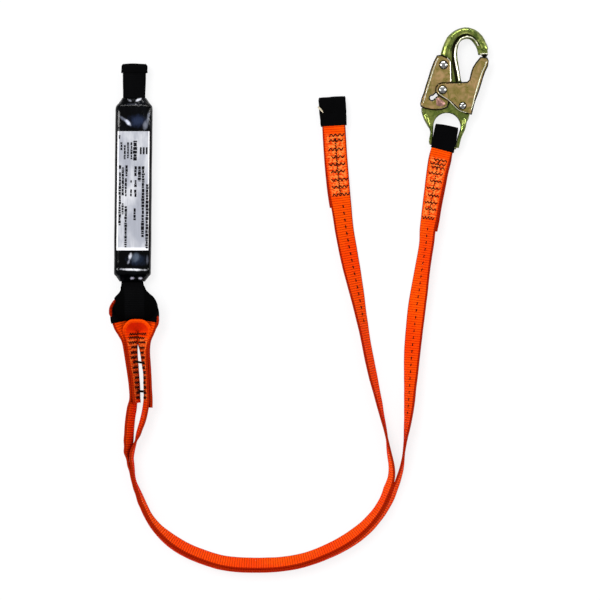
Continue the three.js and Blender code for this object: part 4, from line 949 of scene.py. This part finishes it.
def leg_sleeves():
    """Wear sleeves on both leg ends and on leg A's crest, and frayed lining threads."""
    x, y = run_a.centre[:, 0], run_a.centre[:, 1]
    sleeve("hook_end_sleeve_cloth", "leg_a", "hook_end_wear_sleeve",
           run_a.cut((y > 161.76) & (x > 100) & (run_a.dist > end_a - 60)), WEB_THICK,
           step=0.9, seed=2.0, wrinkle=0.5, flare=lambda y: 0.4 * smooth(156.36, 171.48, y))
    in_free = ((run_b.centre[:, 1] > 188.11) & (run_b.centre[:, 0] < 100)
               & (run_b.dist > end_b - 60))
    free = run_b.cut(in_free)
    sleeve("free_end_sleeve_cloth", "leg_b", "free_end_wear_sleeve", free, WEB_THICK,
           step=0.9, seed=4.0, wrinkle=0.6,
           flare=lambda y: 0.35 + 0.7 * smooth(187.68, 207.12, y))
    top = float(free.centre[:, 2].max())
    frays = [((26.53 - 0.3 * k, 202.37 + 0.75 * k, top + 2.95),
              (20.49 + 0.35 * k, 208.42 + 0.5 * k, top + 1.5 + 0.3 * k),
              (-0.4, 0.5, 0.8), 0.55, 0.5) for k in range(3)]
    sew("free_end_frayed_lining", frays, cream, "leg_b", rings=8)
    sleeve("interlink_sleeve_cloth", "yoke", "interlink_wear_sleeve",
           run_a.cut((y > -23.46) & (x < -100)), WEB_THICK, step=1.0, seed=6.0,
           wrinkle=0.15, clear=SLEEVE_CLEAR * 0.5, bulge=0.05)


yoke_stitching()
leg_sleeves()


# ---------------------------------------------------------------- absorber
def pack_x(y):
    """Middle of the pack, which lies slightly askew."""
    top_x, low_x = -177.91, -179.53
    return top_x + (low_x - top_x) * (PACK_TOP_Y - y) / (PACK_TOP_Y - PACK_LOW_Y)


def lower_loop_x(y):
    share = smooth(20.28, 3, y)
    return pack_x(y) * (1 - share) + -177.05 * share


def upright_run(path, middle=pack_x):
    """Run in the plane across X, through y, z and width at each point."""
    path = np.array(path, float)
    heading = headings(path[:, :2])
    none = np.zeros(len(path))
    return Run(np.c_[[middle(y) for y in path[:, 0]], path[:, :2]],
               np.tile([1.0, 0, 0], (len(path), 1)),
               np.c_[none, -heading[:, 1], heading[:, 0]], path[:, 2])


def arc(y, z, radius, start, end, steps, width):
    angles = [math.radians(start + (end - start) * i / steps) for i in range(steps + 1)]
    return [(y + radius * math.cos(angle), z + radius * math.sin(angle), width)
            for angle in angles]


# Cover outline: y, half width and half height.
FILM = [
    (218.46, 12.7, 4.7), (215.76, 14.6, 6.2), (212.74, 16.6, 8.2), (210.79, 18.6, 9.6),
    (208.85, 19.7, 10.4), (204.96, 20, 10.9), (199.56, 20, 11), (183.36, 20, 11),
    (118.56, 20, 11), (53.76, 20, 11), (38.64, 20, 11), (29.35, 19.9, 10.6), (27.41, 19.3, 9.6),
    (25.68, 17.4, 8.3), (22.87, 15.2, 6.7), (20.28, 13.8, 5.5),
]
# Long creases on the upper face: x, y, tilt in radians, length and height.
CREASES = (
    (-186.01, 193.08, -0.9, 7.5, 0.75), (-162.79, 193.08, 0.35, 9, 0.6),
    (-180.61, 45.12, 0.35, 7, 0.7), (-164.41, 44.04, 0.1, 7, 0.4), (-178.45, 32.59, 1.57, 15, 0.8),
)


def cover_section(y, inset, count):
    """Rounded rectangle of the cover at y: x, z and outward normal at each point."""
    stations, half_widths, half_heights = zip(*FILM[::-1])
    half_width = float(np.interp(y, stations, half_widths))
    half_height = float(np.interp(y, stations, half_heights))
    radius = max(0.6, min(PACK_CORNER, half_height * 0.92) - inset)
    wide, high = half_width - inset - radius, half_height - inset - radius
    quarter = math.pi / 2 * radius
    lengths = [2 * high, quarter, 2 * wide, quarter] * 2
    corners = [(wide, -high), (wide, high), (-wide, high), (-wide, -high)]
    points = []
    for k in range(count):
        dist, i = sum(lengths) * k / count, 0
        while dist > lengths[i]:
            dist -= lengths[i]
            i += 1
        # even stretches are straight, odd ones turn a corner
        turn = i // 2 * math.pi / 2 + (dist / radius if i % 2 else 0)
        slide = 0 if i % 2 else dist
        side, above = math.cos(turn), math.sin(turn)
        corner_x, corner_z = corners[(i + 1) // 2 % 4]
        points.append((pack_x(y) + corner_x + radius * side - slide * above,
                       PACK_MID_Z + corner_z + radius * above + slide * side, side, above))
    return points


def film_dent(x, y, z, angle, above):
    """How far the film stands off its plain shape."""
    near_end = math.exp(-abs(y - 214.14) / 9.0) + math.exp(-abs(y - 24.6) / 8.0)
    ridge = 1 - abs(ripple(x * 0.20 + 3.1, y * 0.13, z * 0.20)) * 2.2
    gather = math.sin(angle * 17 + 2.0 * ripple(angle * 2, y * 0.08, 0))
    dent = near_end * (0.42 * (ridge - 0.5) + 0.22 * gather)
    dent += 0.22 * (ripple(x * 0.06, y * 0.035, z * 0.06 + 5) - 0.1)
    if above > 0.2:
        for crease_x, crease_y, tilt, length, height in CREASES:
            cosine, sine = math.cos(tilt), math.sin(tilt)
            side, ahead = x - crease_x, y - crease_y
            along, off = -side * sine + ahead * cosine, side * cosine + ahead * sine
            profile = (math.exp(-(off / 1.5) ** 2)
                       - 0.8 * math.exp(-((off - 2.6) / 1.7) ** 2))
            dent += height * math.exp(-(along / length) ** 2) * profile * above
    return max(-0.9, min(1.1, dent))


def film_cover():
    columns, steps, thickness = 96, 190, 0.7
    outer, inner, uv = [], [], []
    first, last = FILM[0][0], FILM[-1][0]
    for i in range(steps + 1):
        y = first + (last - first) * i / steps
        plain = cover_section(y, 0, columns)
        dents = [film_dent(x, y, z, TURN * k / columns, above)
                 for k, (x, z, _, above) in enumerate(plain)]
        for rows, points in ((outer, plain), (inner, cover_section(y, thickness, columns))):
            rows.append([(x + side * dent, y, z + above * dent)
                         for (x, z, side, above), dent in zip(points, dents)])
        uv.append([(k * 1.2, y) for k in range(columns)])
    piece(shell("absorber_film_skin", np.array(outer), np.array(inner), np.array(uv, float), film),
          "absorber", "film", "absorber_film_cover")


def label_point(offset, y, lift):
    """Point on the label, offset across from the middle of the cover's upper face."""
    flat = PACK_HALF_WIDTH - PACK_CORNER
    sign = 1 if offset >= 0 else -1
    # past the flat the sheet follows the cover's rounded corner
    angle = min(max(abs(offset) - flat, 0.0) / PACK_CORNER, math.pi / 2)
    side, above = math.sin(angle), math.cos(angle)
    x = min(abs(offset), flat) + PACK_CORNER * side
    z = PACK_HALF_HEIGHT - PACK_CORNER + PACK_CORNER * above
    stand = 0.62 + lift + 0.16 * ripple(offset * 0.07, y * 0.03, 2.0)
    return pack_x(y) + sign * (x + side * stand), y, PACK_MID_Z + z + above * stand


def label_sheet():
    """Thin sheet over the upper face that turns over the cover's corners."""
    steps, columns, half, thickness = 110, 49, 17.1, 0.18
    first, last = 182.28, 53.76
    outer, inner = (
        np.array([[label_point(-half + 2 * half * k / (columns - 1),
                               first + (last - first) * i / steps, lift)
                   for k in range(columns)] for i in range(steps + 1)])
        for lift in (0.0, -thickness))
    points = np.concatenate([outer, inner[:, ::-1]], 1)
    across = np.linspace(-half, half, columns)
    around = np.concatenate([across, -across])
    uv = np.stack([np.tile(around, (steps + 1, 1)), points[..., 1]], -1)
    piece(loft("absorber_label_sheet", points, uv, label), "absorber", "label", "absorber_label")


# Printed lines running down the label: x, first y, last y, width and share inked.
PRINT_LINES = (
    (-193.03, 177.96, 173.64, 1.89, 0.88), (-191.194, 170.4, 152.04, 1.89, 0.93),
    (-187.63, 167.16, 152.04, 1.89, 0.88), (-184.066, 170.4, 152.04, 1.89, 0.88),
    (-180.394, 170.4, 152.04, 1.89, 0.93), (-176.506, 172.02, 150.42, 3.99, 1),
    (-192.922, 145.56, 80.76, 2.31, 0.93), (-189.682, 143.4, 112.08, 2.31, 0.98),
    (-189.898, 104.52, 92.64, 2.1, 0.98), (-185.578, 145.56, 133.68, 2.52, 0.93),
    (-186.442, 131.52, 112.08, 1.89, 0.83), (-186.658, 101.28, 55.92, 2.52, 1),
    (-180.826, 129.36, 112.08, 1.89, 0.78), (-176.074, 144.48, 108.84, 2.31, 0.83),
    (-176.938, 99.12, 86.16, 2.52, 0.93), (-171.754, 144.48, 128.28, 2.94, 0.98),
    (-168.082, 144.48, 67.8, 2.94, 1), (-163.762, 125.04, 55.92, 2.73, 1),
)
# A square mark of three bars: left and right x of each.
PRINT_MARK = ((-171.322, -169.378), (-168.082, -166.138), (-164.842, -163.114))
MARK_TOP_Y, MARK_MID_Y, MARK_LOW_Y = 165.0, 161.76, 157.44


def label_print():
    """Illegible print: rows of short bars and a square mark."""
    rng = np.random.RandomState(9)
    verts, faces = [], []

    def bar(left, right, first, last):
        faces.extend(solid_faces(3, 6, len(verts)))
        middle = (left + right) / 2
        for i in range(3):
            y = first + (last - first) * i / 2
            verts.extend(label_point(offset, y, 0.045) for offset in (left, middle, right))
            verts.extend(label_point(offset, y, 0.0) for offset in (right, middle, left))

    for x, y, last, line_width, inked in PRINT_LINES:
        offset = x - pack_x((y + last) / 2)
        while y > last + 0.8:
            length = rng.uniform(1.4, 4.2)
            if rng.rand() < inked:
                width = line_width * rng.uniform(0.75, 1.2)
                jitter = rng.uniform(-0.15, 0.15)
                bar(offset - width / 2 + jitter, offset + width / 2 + jitter,
                    y, max(last, y - length))
            y -= length + rng.uniform(0.3, 0.65)
    for left, right in PRINT_MARK:
        middle = pack_x(MARK_MID_Y)
        bar(left - middle, right - middle, MARK_TOP_Y, MARK_LOW_Y)
    piece(make("absorber_label_print", verts, faces, None, ink, smooth_faces=False),
          "absorber", "label")


def folded_strap(name, node, layers, pitch, low_z, ends, width, thick, rib_height):
    """White strap folded to and fro inside the cover."""
    path = []
    radius = pitch / 2
    for i in range(layers):
        z = low_z + pitch * i
        first, last = ends[::-1] if i % 2 else ends
        if i == 0:
            path.append((first, z, width))
        path += [(first + (last - first) * share, z, width) for share in (0.25, 0.5, 0.75)]
        path.append((last, z, width))
        if i < layers - 1:
            start = -90 if last > first else 270
            path += arc(last, z + radius, radius, start, 90, 6, width)[1:]
    piece(strap(name, upright_run(path).fine(0.9), thick, tear_webbing, rib=1.8,
                rib_height=rib_height), "absorber", "tear_webbing", node)


film_cover()
label_sheet()
label_print()
folded_strap("tear_webbing_folded", "tear_webbing", layers=5, pitch=3.0, low_z=6.6,
             ends=(49.44, 190.92), width=35, thick=2.1, rib_height=0.1)
folded_strap("backup_strap_folded", "backup_strap", layers=2, pitch=1.6, low_z=2.3,
             ends=(51.6, 188.76), width=30, thick=0.9, rib_height=0.05)


# ------------------------------------------------------------------- loops
# Strap paths: y, z and width, from the upper ply inside the cover to the lower one.
HARNESS_PATH = (
    [(202.8, 12.6, 24), (207.12, 12.6, 24), (217.6, 12.6, 24), (TOP_HINGE_Y, 12.5, 24),
     (225.48, 13.1, 24.1), (233.04, 14.4, 24.6), (241.68, 15.4, 24.8), (245.46, 15.6, 24.8)]
    + arc(248.81, 11.2, 4.4, 90, -90, 12, LOOP_WIDTH + 0.6)
    + [(245.46, 6.8, 24.8), (241.68, 7, 24.8), (233.04, 8, 24.6), (225.48, 9.3, 24.1),
       (TOP_HINGE_Y, 9.9, 24), (217.6, 9.8, 24), (207.12, 9.8, 24), (202.8, 9.8, 24)])
LOWER_PATH = [
    (38.64, 12.6, 24), (30, 12.65, 24), (23.52, 12.65, 23.5), (19.63, 13.1, 23.5),
    (15.96, 18, 24.5), (13.37, 23.6, 26.5), (10.56, 28, 28.0), (7.32, 30.6, 33.5),
    (3.54, 31.4, 41.5), (-0.24, 31.4, 46.5), (-4.56, 30.6, 50), (-8.88, 28.4, 50.5),
    (-13.2, 25.4, 47), (-17.3, 20.5, 42), (-20.54, 14.5, 34), (-21.41, 9, 20), (-20.76, 5.2, 17),
    (-18.06, 2.6, 17), (-14.28, 1.4, 18), (-5.64, 1.25, 20), (4.08, 1.25, 23), (10.56, 2.1, 23.5),
    (15.96, 5.8, 23.5), (20.28, 9.1, 23.5), (24.6, 9.7, 23.5), (30, 9.8, 24), (38.64, 9.8, 24),
]


def loop_strap(name, run, **look):
    return strap(name, run, LOOP_THICK, black_webbing, rib=LOOP_RIB, rib_height=0.13, **look)


def loop_tacks(loop, run, in_pack, rows_y, seed):
    """Bar tacks on the upper ply, where it enters the cover."""
    part = run.cut(in_pack & (run.centre[:, 2] > PACK_MID_Z))
    stitches = bar_tacks(part, [part.at_y(y) for y in rows_y], 1, LOOP_THICK, seed)
    sew(loop + "_bar_tacks", stitches, black, "absorber", loop + "_stitching")


def harness_loop():
    """One strap from inside the cover, round the top and back."""
    run = upright_run(HARNESS_PATH).fine(0.55)
    y = run.centre[:, 1]
    thing = loop_strap("harness_loop_strap", run, wobble=0.15, seed=8)
    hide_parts("harness_loop_tails", "harness_loop_webbing")
    start, end = ((pack_x(TOP_HINGE_Y) * MM, (TOP_HINGE_Y + reach) * MM, PACK_MID_Z * MM)
                  for reach in (-3.5, 3.5))
    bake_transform(thing)
    sleeve("harness_loop_sleeve_cloth", "harness_loop", "harness_loop_wear_sleeve",
           run.cut(y > 245.14), LOOP_THICK, step=0.8, seed=3.0, wrinkle=0.45, bulge=0.25,
           flare=lambda y: 0.7 - 3.4 * smooth(252.05, 255.4, y))
    loop_tacks("harness_loop", run, y < 217.92, (213.6, 210.36, 207.12, 203.88), seed=51)


def drawn_in(run):
    """Draws the -X selvedge inward over the top of the lower loop."""
    y = run.centre[:, 1]
    pull = 3.6 * smooth(-16.98, -13.2, y) * smooth(2.46, -1.32, y) * (run.centre[:, 2] > 18)
    return np.outer(pull, np.clip(-SPREAD - 0.7, 0, 1) / 0.3)


def lower_loop():
    """Out of the cover, over leg A's sleeved crest, down inside and back under."""
    run = upright_run(LOWER_PATH, lower_loop_x).fine(0.55)
    droop = 1.0 * smooth(33, 46, run.width) + 0.2
    thing = loop_strap("lower_loop_strap", run, wobble=0.25, seed=12, crown=droop, push=drawn_in)
    piece(thing, "absorber", "black_fabric", "lower_loop_webbing")
    loop_tacks("lower_loop", run, run.centre[:, 1] > 24.6, (35.4, 32.16, 28.92), seed=61)


harness_loop()
lower_loop()


# --------------------------------------------------------------- snap hook
FORGING_FACE_Z = HOOK_Z + 4.9
GATE_EDGE_Z, LEVER_EDGE_Z = 20.2, 18.2


def frame_shape(node):
    """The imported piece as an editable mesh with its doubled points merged."""
    shape = bmesh.new()
    shape.from_mesh(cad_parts[node].data)
    bmesh.ops.remove_doubles(shape, verts=shape.verts[:], dist=2e-6)
    return shape


def to_mesh(shape, name, material):
    mesh = bpy.data.meshes.new(name)
    shape.to_mesh(mesh)
    shape.free()
    mesh.materials.append(material)
    return mesh


def forged_copy(node, name, body, slot, material, bevel, segments):
    """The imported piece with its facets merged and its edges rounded."""
    shape = frame_shape(node)
    bmesh.ops.dissolve_limit(shape, angle_limit=math.radians(0.6), verts=shape.verts[:],
                             edges=shape.edges[:])
    sharp = [edge for edge in shape.edges
             if len(edge.link_faces) == 2 and edge.calc_face_angle(0) > math.radians(28)]
    bmesh.ops.bevel(shape, geom=sharp, offset=bevel * MM, offset_type="OFFSET",
                    segments=segments, profile=0.5, affect="EDGES", clamp_overlap=True)
    bmesh.ops.triangulate(shape, faces=[face for face in shape.faces if len(face.verts) > 4])
    bmesh.ops.recalc_face_normals(shape, faces=shape.faces[:])
    mesh = to_mesh(shape, name, material)
    shade_smooth(mesh)
    mesh.set_sharp_from_angle(angle=math.radians(32))
    thing = link(name, mesh)
    thing.modifiers.new("weighted", "WEIGHTED_NORMAL").keep_sharp = True
    piece(thing, body, slot, node)


def rounded_bar(name, rows, z, material, steps, sides, ends):
    """Rounded bar along a line: rows of x, y, half width and half height.

    ends is the length over which each end closes.
    """
    rows = np.array(rows, float)
    lengths = np.linalg.norm(np.diff(rows[:, :2], axis=0), axis=1)
    knots = np.concatenate([[0], np.cumsum(lengths)])
    dist = np.linspace(0, knots[-1], steps)
    x, y, half_width, half_height = hermite(knots, rows, dist).T
    heading = unit(np.gradient(np.c_[x, y], axis=0))
    side = np.c_[heading[:, 1], -heading[:, 0], np.zeros(steps)]
    inward = np.clip(np.minimum(dist, knots[-1] - dist) / ends, 0, 1)
    cap = np.sqrt(np.clip(1 - (1 - inward) ** 2, 0.02, 1))
    angles = np.linspace(0, TURN, sides, endpoint=False)
    wide, high = (np.sign(wave) * np.abs(wave) ** 0.8 for wave in (np.cos(angles), np.sin(angles)))
    centre = np.c_[x, y, np.full(steps, z)]
    points = centre[:, None] + side[:, None] * (half_width * cap)[:, None, None] * wide[:, None]
    points[..., 2] += (half_height * cap)[:, None] * high
    uv = np.stack([np.repeat(angles[None], steps, 0), np.repeat(dist[:, None], sides, 1)], -1)
    return loft(name, points, uv, material)


for node, name, body, slot, material, bevel, segments in (
        ("hook_body", "hook_forging", "hook", "forging", forged, 0.35, 3),
        ("gate", "gate_plate", "gate", "plate", plated, 0.22, 3),
        ("lock_lever", "lock_lever_plate", "lever", "plate", plated, 0.22, 3),
        ("gate_rivet", "gate_rivet_peened", "hook", "rivet", rivet_steel, 0.15, 2),
        ("lock_pin_rivet", "lock_pin_peened", "gate", "rivet", rivet_steel, 0.15, 2),
        ("lever_rivet", "lever_rivet_peened", "hook", "rivet", rivet_steel, 0.15, 2)):
    forged_copy(node, name, body, slot, material, bevel, segments)

# Bars laid on the hook: name, body, slot, z, material, (steps, sides, end length) and
# rows of x, y, half width and half height. First the round crown and eye arms, then
# the lip and groove inside the crown as painted highlight and painted shadow, the
# nose's painted highlight, painted highlights along the plates' edges, and a painted
# shadow under the nose.
HOOK_BARS = (
    ("hook_crown_round", "hook", "forging", HOOK_Z, forged, (90, 28, 2.0), (
        (159.806, 255.72, 3.888, 4.9), (159.59, 261.66, 5.076, 5.3), (159.59, 267.06, 5.4, 6.3),
        (162.29, 276.24, 5.292, 7.0), (166.934, 283.8, 4.914, 7.2), (172.442, 288.336, 4.536, 7.2),
        (180.326, 290.604, 4.104, 7.1), (188.534, 288.228, 4.212, 7.0),
        (194.366, 282.396, 4.104, 6.9), (198.254, 276.132, 4.428, 6.8),
        (199.874, 272.352, 4.536, 6.6), (200.198, 269.112, 4.428, 6.2))),
    ("hook_eye_arm_left", "hook", "forging", HOOK_Z, forged, (40, 28, 3.0), (
        (136.154, 202.8, 3.24, 5.4), (138.206, 196.32, 3.24, 5.8),
        (140.366, 190.38, 2.376, 5.6), (141.878, 185.52, 1.404, 5.0))),
    ("hook_eye_arm_right", "hook", "forging", HOOK_Z, forged, (40, 28, 3.0), (
        (179.03, 198.48, 2.808, 5.6), (178.598, 193.08, 3.024, 6.0),
        (177.086, 186.6, 2.484, 6.0), (175.358, 180.12, 1.62, 5.4))),
    ("hook_inner_lip", "hook", "forging", FORGING_FACE_Z, highlight_zinc, (120, 16, 1.5), (
        (173.522, 235.632, 0.972, 1.7), (172.442, 241.68, 1.026, 1.7),
        (171.254, 248.16, 1.026, 1.7), (169.958, 254.64, 1.026, 1.7), (168.77, 262.2, 1.026, 1.7),
        (168.878, 269.22, 1.026, 1.7), (170.498, 275.376, 1.026, 1.7),
        (174.602, 281.532, 1.026, 1.7), (178.49, 283.692, 1.026, 1.7),
        (182.918, 284.34, 0.972, 1.7), (187.886, 282.72, 0.864, 1.6),
        (191.342, 279.156, 0.756, 1.4), (193.934, 273.864, 0.648, 1.2))),
    ("hook_lip_groove", "hook", "forging", FORGING_FACE_Z, shadow_zinc, (120, 16, 1.5), (
        (170.606, 235.2, 1.296, 0.9), (169.526, 241.68, 1.404, 0.9), (168.446, 248.16, 1.404, 0.9),
        (167.366, 254.64, 1.404, 0.9), (166.286, 262.2, 1.404, 0.9), (166.394, 269.22, 1.296, 0.9),
        (168.122, 276.456, 1.296, 0.9), (172.442, 283.368, 1.188, 0.9),
        (177.626, 286.068, 1.08, 0.9), (183.134, 286.824, 0.972, 0.9),
        (188.966, 285.096, 0.864, 0.9), (192.854, 280.992, 0.756, 0.9),
        (195.446, 274.728, 0.648, 0.9))),
    ("hook_nose_shoulder", "hook", "forging", FORGING_FACE_Z, highlight_zinc, (24, 12, 1.0), (
        (195.662, 264.792, 0.54, 0.8), (199.982, 266.196, 0.756, 0.9),
        (204.086, 265.872, 0.54, 0.8))),
    ("gate_back_edge", "gate", "plate", GATE_EDGE_Z, highlight_zinc, (50, 10, 1.0), (
        (202.466, 258.42, 0.54, 0.5), (200.846, 252.48, 0.54, 0.5), (197.39, 244.92, 0.594, 0.5),
        (194.366, 235.2, 0.594, 0.5), (191.126, 224.4, 0.594, 0.5), (188.318, 213.6, 0.594, 0.5),
        (185.834, 204.528, 0.54, 0.5))),
    ("gate_foot_edge", "gate", "plate", GATE_EDGE_Z, highlight_zinc, (50, 10, 1.0), (
        (150.194, 223.752, 0.432, 0.4), (155.81, 219.756, 0.54, 0.5), (161.75, 215.868, 0.54, 0.5),
        (167.366, 210.144, 0.54, 0.5), (173.198, 204.96, 0.54, 0.5),
        (180.65, 202.368, 0.486, 0.45))),
    ("lever_throat_edge", "lever", "plate", LEVER_EDGE_Z, highlight_zinc, (50, 10, 1.0), (
        (160.022, 261.552, 0.432, 0.4), (163.046, 258.096, 0.54, 0.5), (163.694, 250.32, 0.54, 0.5),
        (163.91, 241.68, 0.54, 0.5), (164.126, 235.2, 0.432, 0.4))),
    ("lever_back_edge", "lever", "plate", LEVER_EDGE_Z, highlight_zinc, (50, 10, 1.0), (
        (150.302, 261.552, 0.432, 0.4), (146.63, 252.48, 0.486, 0.45),
        (142.31, 239.52, 0.486, 0.45), (137.99, 225.48, 0.486, 0.45),
        (134.102, 212.52, 0.432, 0.4))),
    ("hook_nose_tongue", "hook", "forging", HOOK_Z, shadow_zinc, (24, 28, 3.0), (
        (200.198, 267.6, 3.456, 3.2), (200.63, 264.9, 3.348, 3.2), (200.846, 261.984, 2.808, 3.0))),
)
for name, body, slot, z, material, (steps, sides, ends), rows in HOOK_BARS:
    piece(rounded_bar(name, rows, z, material, steps, sides, ends), body, slot)

# Outline of the lever's thumb tab: x and y.
THUMB_TAB = np.array([
    (148.358, 218.568), (150.95, 218.568), (154.406, 216.408), (158.51, 212.736),
    (157.862, 211.008), (155.918, 209.064), (152.03, 209.064), (148.358, 210.36),
])


def thumb_tab(low_z=17.9, top_z=18.4):
    """Flat block with a drawn-in top."""
    middle = THUMB_TAB.mean(0)
    rings = ((1.0, low_z), (1.0, top_z - 0.3), (0.93, top_z))
    points = np.array([np.c_[middle + (THUMB_TAB - middle) * share, np.full(len(THUMB_TAB), z)]
                       for share, z in rings])
    piece(loft("lever_thumb_tab", points, points[..., :2], tabbed), "lever", "plate")


def inner_leaf(node, name, body, low_z, top_z, grow=1.25):
    """Dark leaf grown from a plate's upper half, a painted shadow showing as a line round its edge.
    """
    shape = frame_shape(node)
    lower = [vert for vert in shape.verts if vert.co.z < HOOK_Z * MM]
    bmesh.ops.delete(shape, geom=lower, context="VERTS")
    bmesh.ops.recalc_face_normals(shape, faces=shape.faces[:])
    shape.normal_update()
    heights = [vert.co.z for vert in shape.verts]
    base, tall = min(heights), max(heights) - min(heights)
    moves = []
    for vert in shape.verts:
        outward = Vector((0, 0, 0))
        for face in vert.link_faces:
            if abs(face.normal.z) < 0.9:
                level = Vector((face.normal.x, face.normal.y, 0))
                outward += level * face.calc_area() ** 0.5
        if outward.length > 1e-9:
            moves.append((vert, outward.normalized() * grow * MM))
    for vert, move in moves:
        vert.co += move
    for vert in shape.verts:
        vert.co.z = (low_z + (top_z - low_z) * (vert.co.z - base) / tall) * MM
    piece(link(name, to_mesh(shape, name, shadow_zinc)), body, "plate")


def rivet_seat(name, body, x, y, z, radius, tube=0.7):
    """Dark flattened ring round a rivet head, a painted shadow."""
    rows, cols = 40, 10
    around = np.linspace(0, TURN, rows, endpoint=False)[:, None]
    about = np.linspace(0, TURN, cols, endpoint=False) * np.ones((rows, 1))
    reach = radius + tube * np.cos(about)
    points = np.stack([x + reach * np.cos(around), y + reach * np.sin(around),
                       z + tube * 0.7 * np.sin(about)], -1)
    uv = np.stack([np.repeat(around, cols, 1), about], -1)
    piece(make(name, points.reshape(-1, 3), loft_faces(rows, cols, wrap=True),
               uv.reshape(-1, 2), shadow_zinc), body, "rivet")


thumb_tab()
inner_leaf("gate", "gate_inner_leaf", "gate", low_z=18.75, top_z=19.6)
inner_leaf("lock_lever", "lever_inner_leaf", "lever", low_z=17.1, top_z=17.8)
rivet_seat("gate_rivet_seat", "gate", 176.87, 209.82, GATE_EDGE_Z - 0.05, radius=3.55)
rivet_seat("lock_pin_seat", "gate", 155.27, 227.1, GATE_EDGE_Z - 0.05, radius=4.3)
rivet_seat("lever_rivet_seat", "lever", 156.35, 254.1, LEVER_EDGE_Z - 0.05, radius=4.3)
for node in ("gate_spring", "lever_spring"):
    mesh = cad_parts[node].data
    mesh.materials.clear()
    mesh.materials.append(spring_wire)
    shade_smooth(mesh)


# ------------------------------------- floor, light and camera, in metres
def floor_material():
    """Pale floor that looks almost pure white to the camera."""
    shader = Shader("pale_floor", (0.86, 0.86, 0.86))
    shader.paint(shader.noise(shader.place(), scale=12.0), (0.88, 0.88, 0.88))
    shader.finish(roughness=0.9, specular=0.1)
    glow = shader.node("Emission", {"Color": (1.0, 1.0, 1.0), "Strength": 1.0})
    seen = shader.node("LightPath", output="Is Camera Ray") * 0.8
    mixed = shader.node("MixShader", {0: seen, 1: shader.surface, 2: glow})
    shader.put(shader.output.inputs["Surface"], mixed)
    return shader.material


def add_floor():
    shape = bmesh.new()
    bmesh.ops.create_grid(shape, x_segments=8, y_segments=8, size=4.0)
    floor = link("floor", to_mesh(shape, "floor", floor_material()))
    floor.location = (0, 0, -0.0006)


def add_world():
    """Dim grey surround, stronger for diffuse light than for reflections."""
    world = bpy.data.worlds.new("studio")
    bpy.context.scene.world = world
    world.use_nodes = True
    nodes, links = world.node_tree.nodes, world.node_tree.links
    background = nodes["Background"]
    place = nodes.new("ShaderNodeTexCoord")
    split = nodes.new("ShaderNodeSeparateXYZ")
    links.new(place.outputs["Generated"], split.inputs[0])
    ramp = nodes.new("ShaderNodeValToRGB")
    stops = ramp.color_ramp.elements
    stops[0].position, stops[0].color = 0.0, (0.30, 0.30, 0.30, 1)
    stops[1].position, stops[1].color = 1.0, (0.36, 0.36, 0.37, 1)
    stops.new(0.45).color = (0.16, 0.16, 0.17, 1)
    links.new(split.outputs[2], ramp.inputs[0])
    links.new(ramp.outputs[0], background.inputs["Color"])
    path = nodes.new("ShaderNodeLightPath")
    fill = nodes.new("ShaderNodeMath")
    fill.operation = "MULTIPLY_ADD"
    links.new(path.outputs["Is Diffuse Ray"], fill.inputs[0])
    fill.inputs[1].default_value = 2.4      # added for diffuse rays
    fill.inputs[2].default_value = 1.0
    links.new(fill.outputs[0], background.inputs["Strength"])


def add_light(name, kind, energy, direction):
    light = bpy.data.lights.new(name, kind)
    light.energy = energy
    lamp = link(name, light)
    lamp.rotation_mode = "QUATERNION"
    lamp.rotation_quaternion = direction.to_track_quat("-Z", "Y")
    return lamp


def add_lights():
    """A soft sun without glints, and four strips seen only in reflections."""
    key = add_light("key_sun", "SUN", energy=1.65, direction=Vector((0.30, -0.28, -1.0)))
    key.data.angle = math.radians(24)
    key.visible_glossy = False
    for name, place, width, height, energy in (
            ("left_strip", (-1.1, 0.25, 0.95), 0.16, 1.0, 16),
            ("right_strip", (1.15, 0.35, 0.7), 0.12, 0.9, 9),
            ("top_strip", (-0.1, 1.25, 0.8), 1.2, 0.12, 12),
            ("low_strip", (0.3, -1.3, 0.6), 1.0, 0.12, 5)):
        strip = add_light(name, "AREA", energy, direction=Vector((0, 0, 0)) - Vector(place))
        strip.data.shape = "RECTANGLE"
        strip.data.size, strip.data.size_y = width, height
        strip.location = place
        strip.visible_diffuse = False


def add_camera():
    """Long lens looking straight down; view_width is what it takes in at focus_z."""
    view_width, focus_z = 0.648, 0.011
    lens = bpy.data.cameras.new("camera")
    lens.lens, lens.sensor_width = 400, 36
    lens.clip_start, lens.clip_end = 0.1, 40
    camera = link("camera", lens)
    camera.location = (0.00137, 0.0003, view_width * 400 / 36 + focus_z)
    scene = bpy.context.scene
    scene.camera = camera
    scene.view_settings.view_transform = "Standard"
    scene.view_settings.look = "None"


add_floor()
add_world()
add_lights()
add_camera()

bpy.context.view_layer.update()
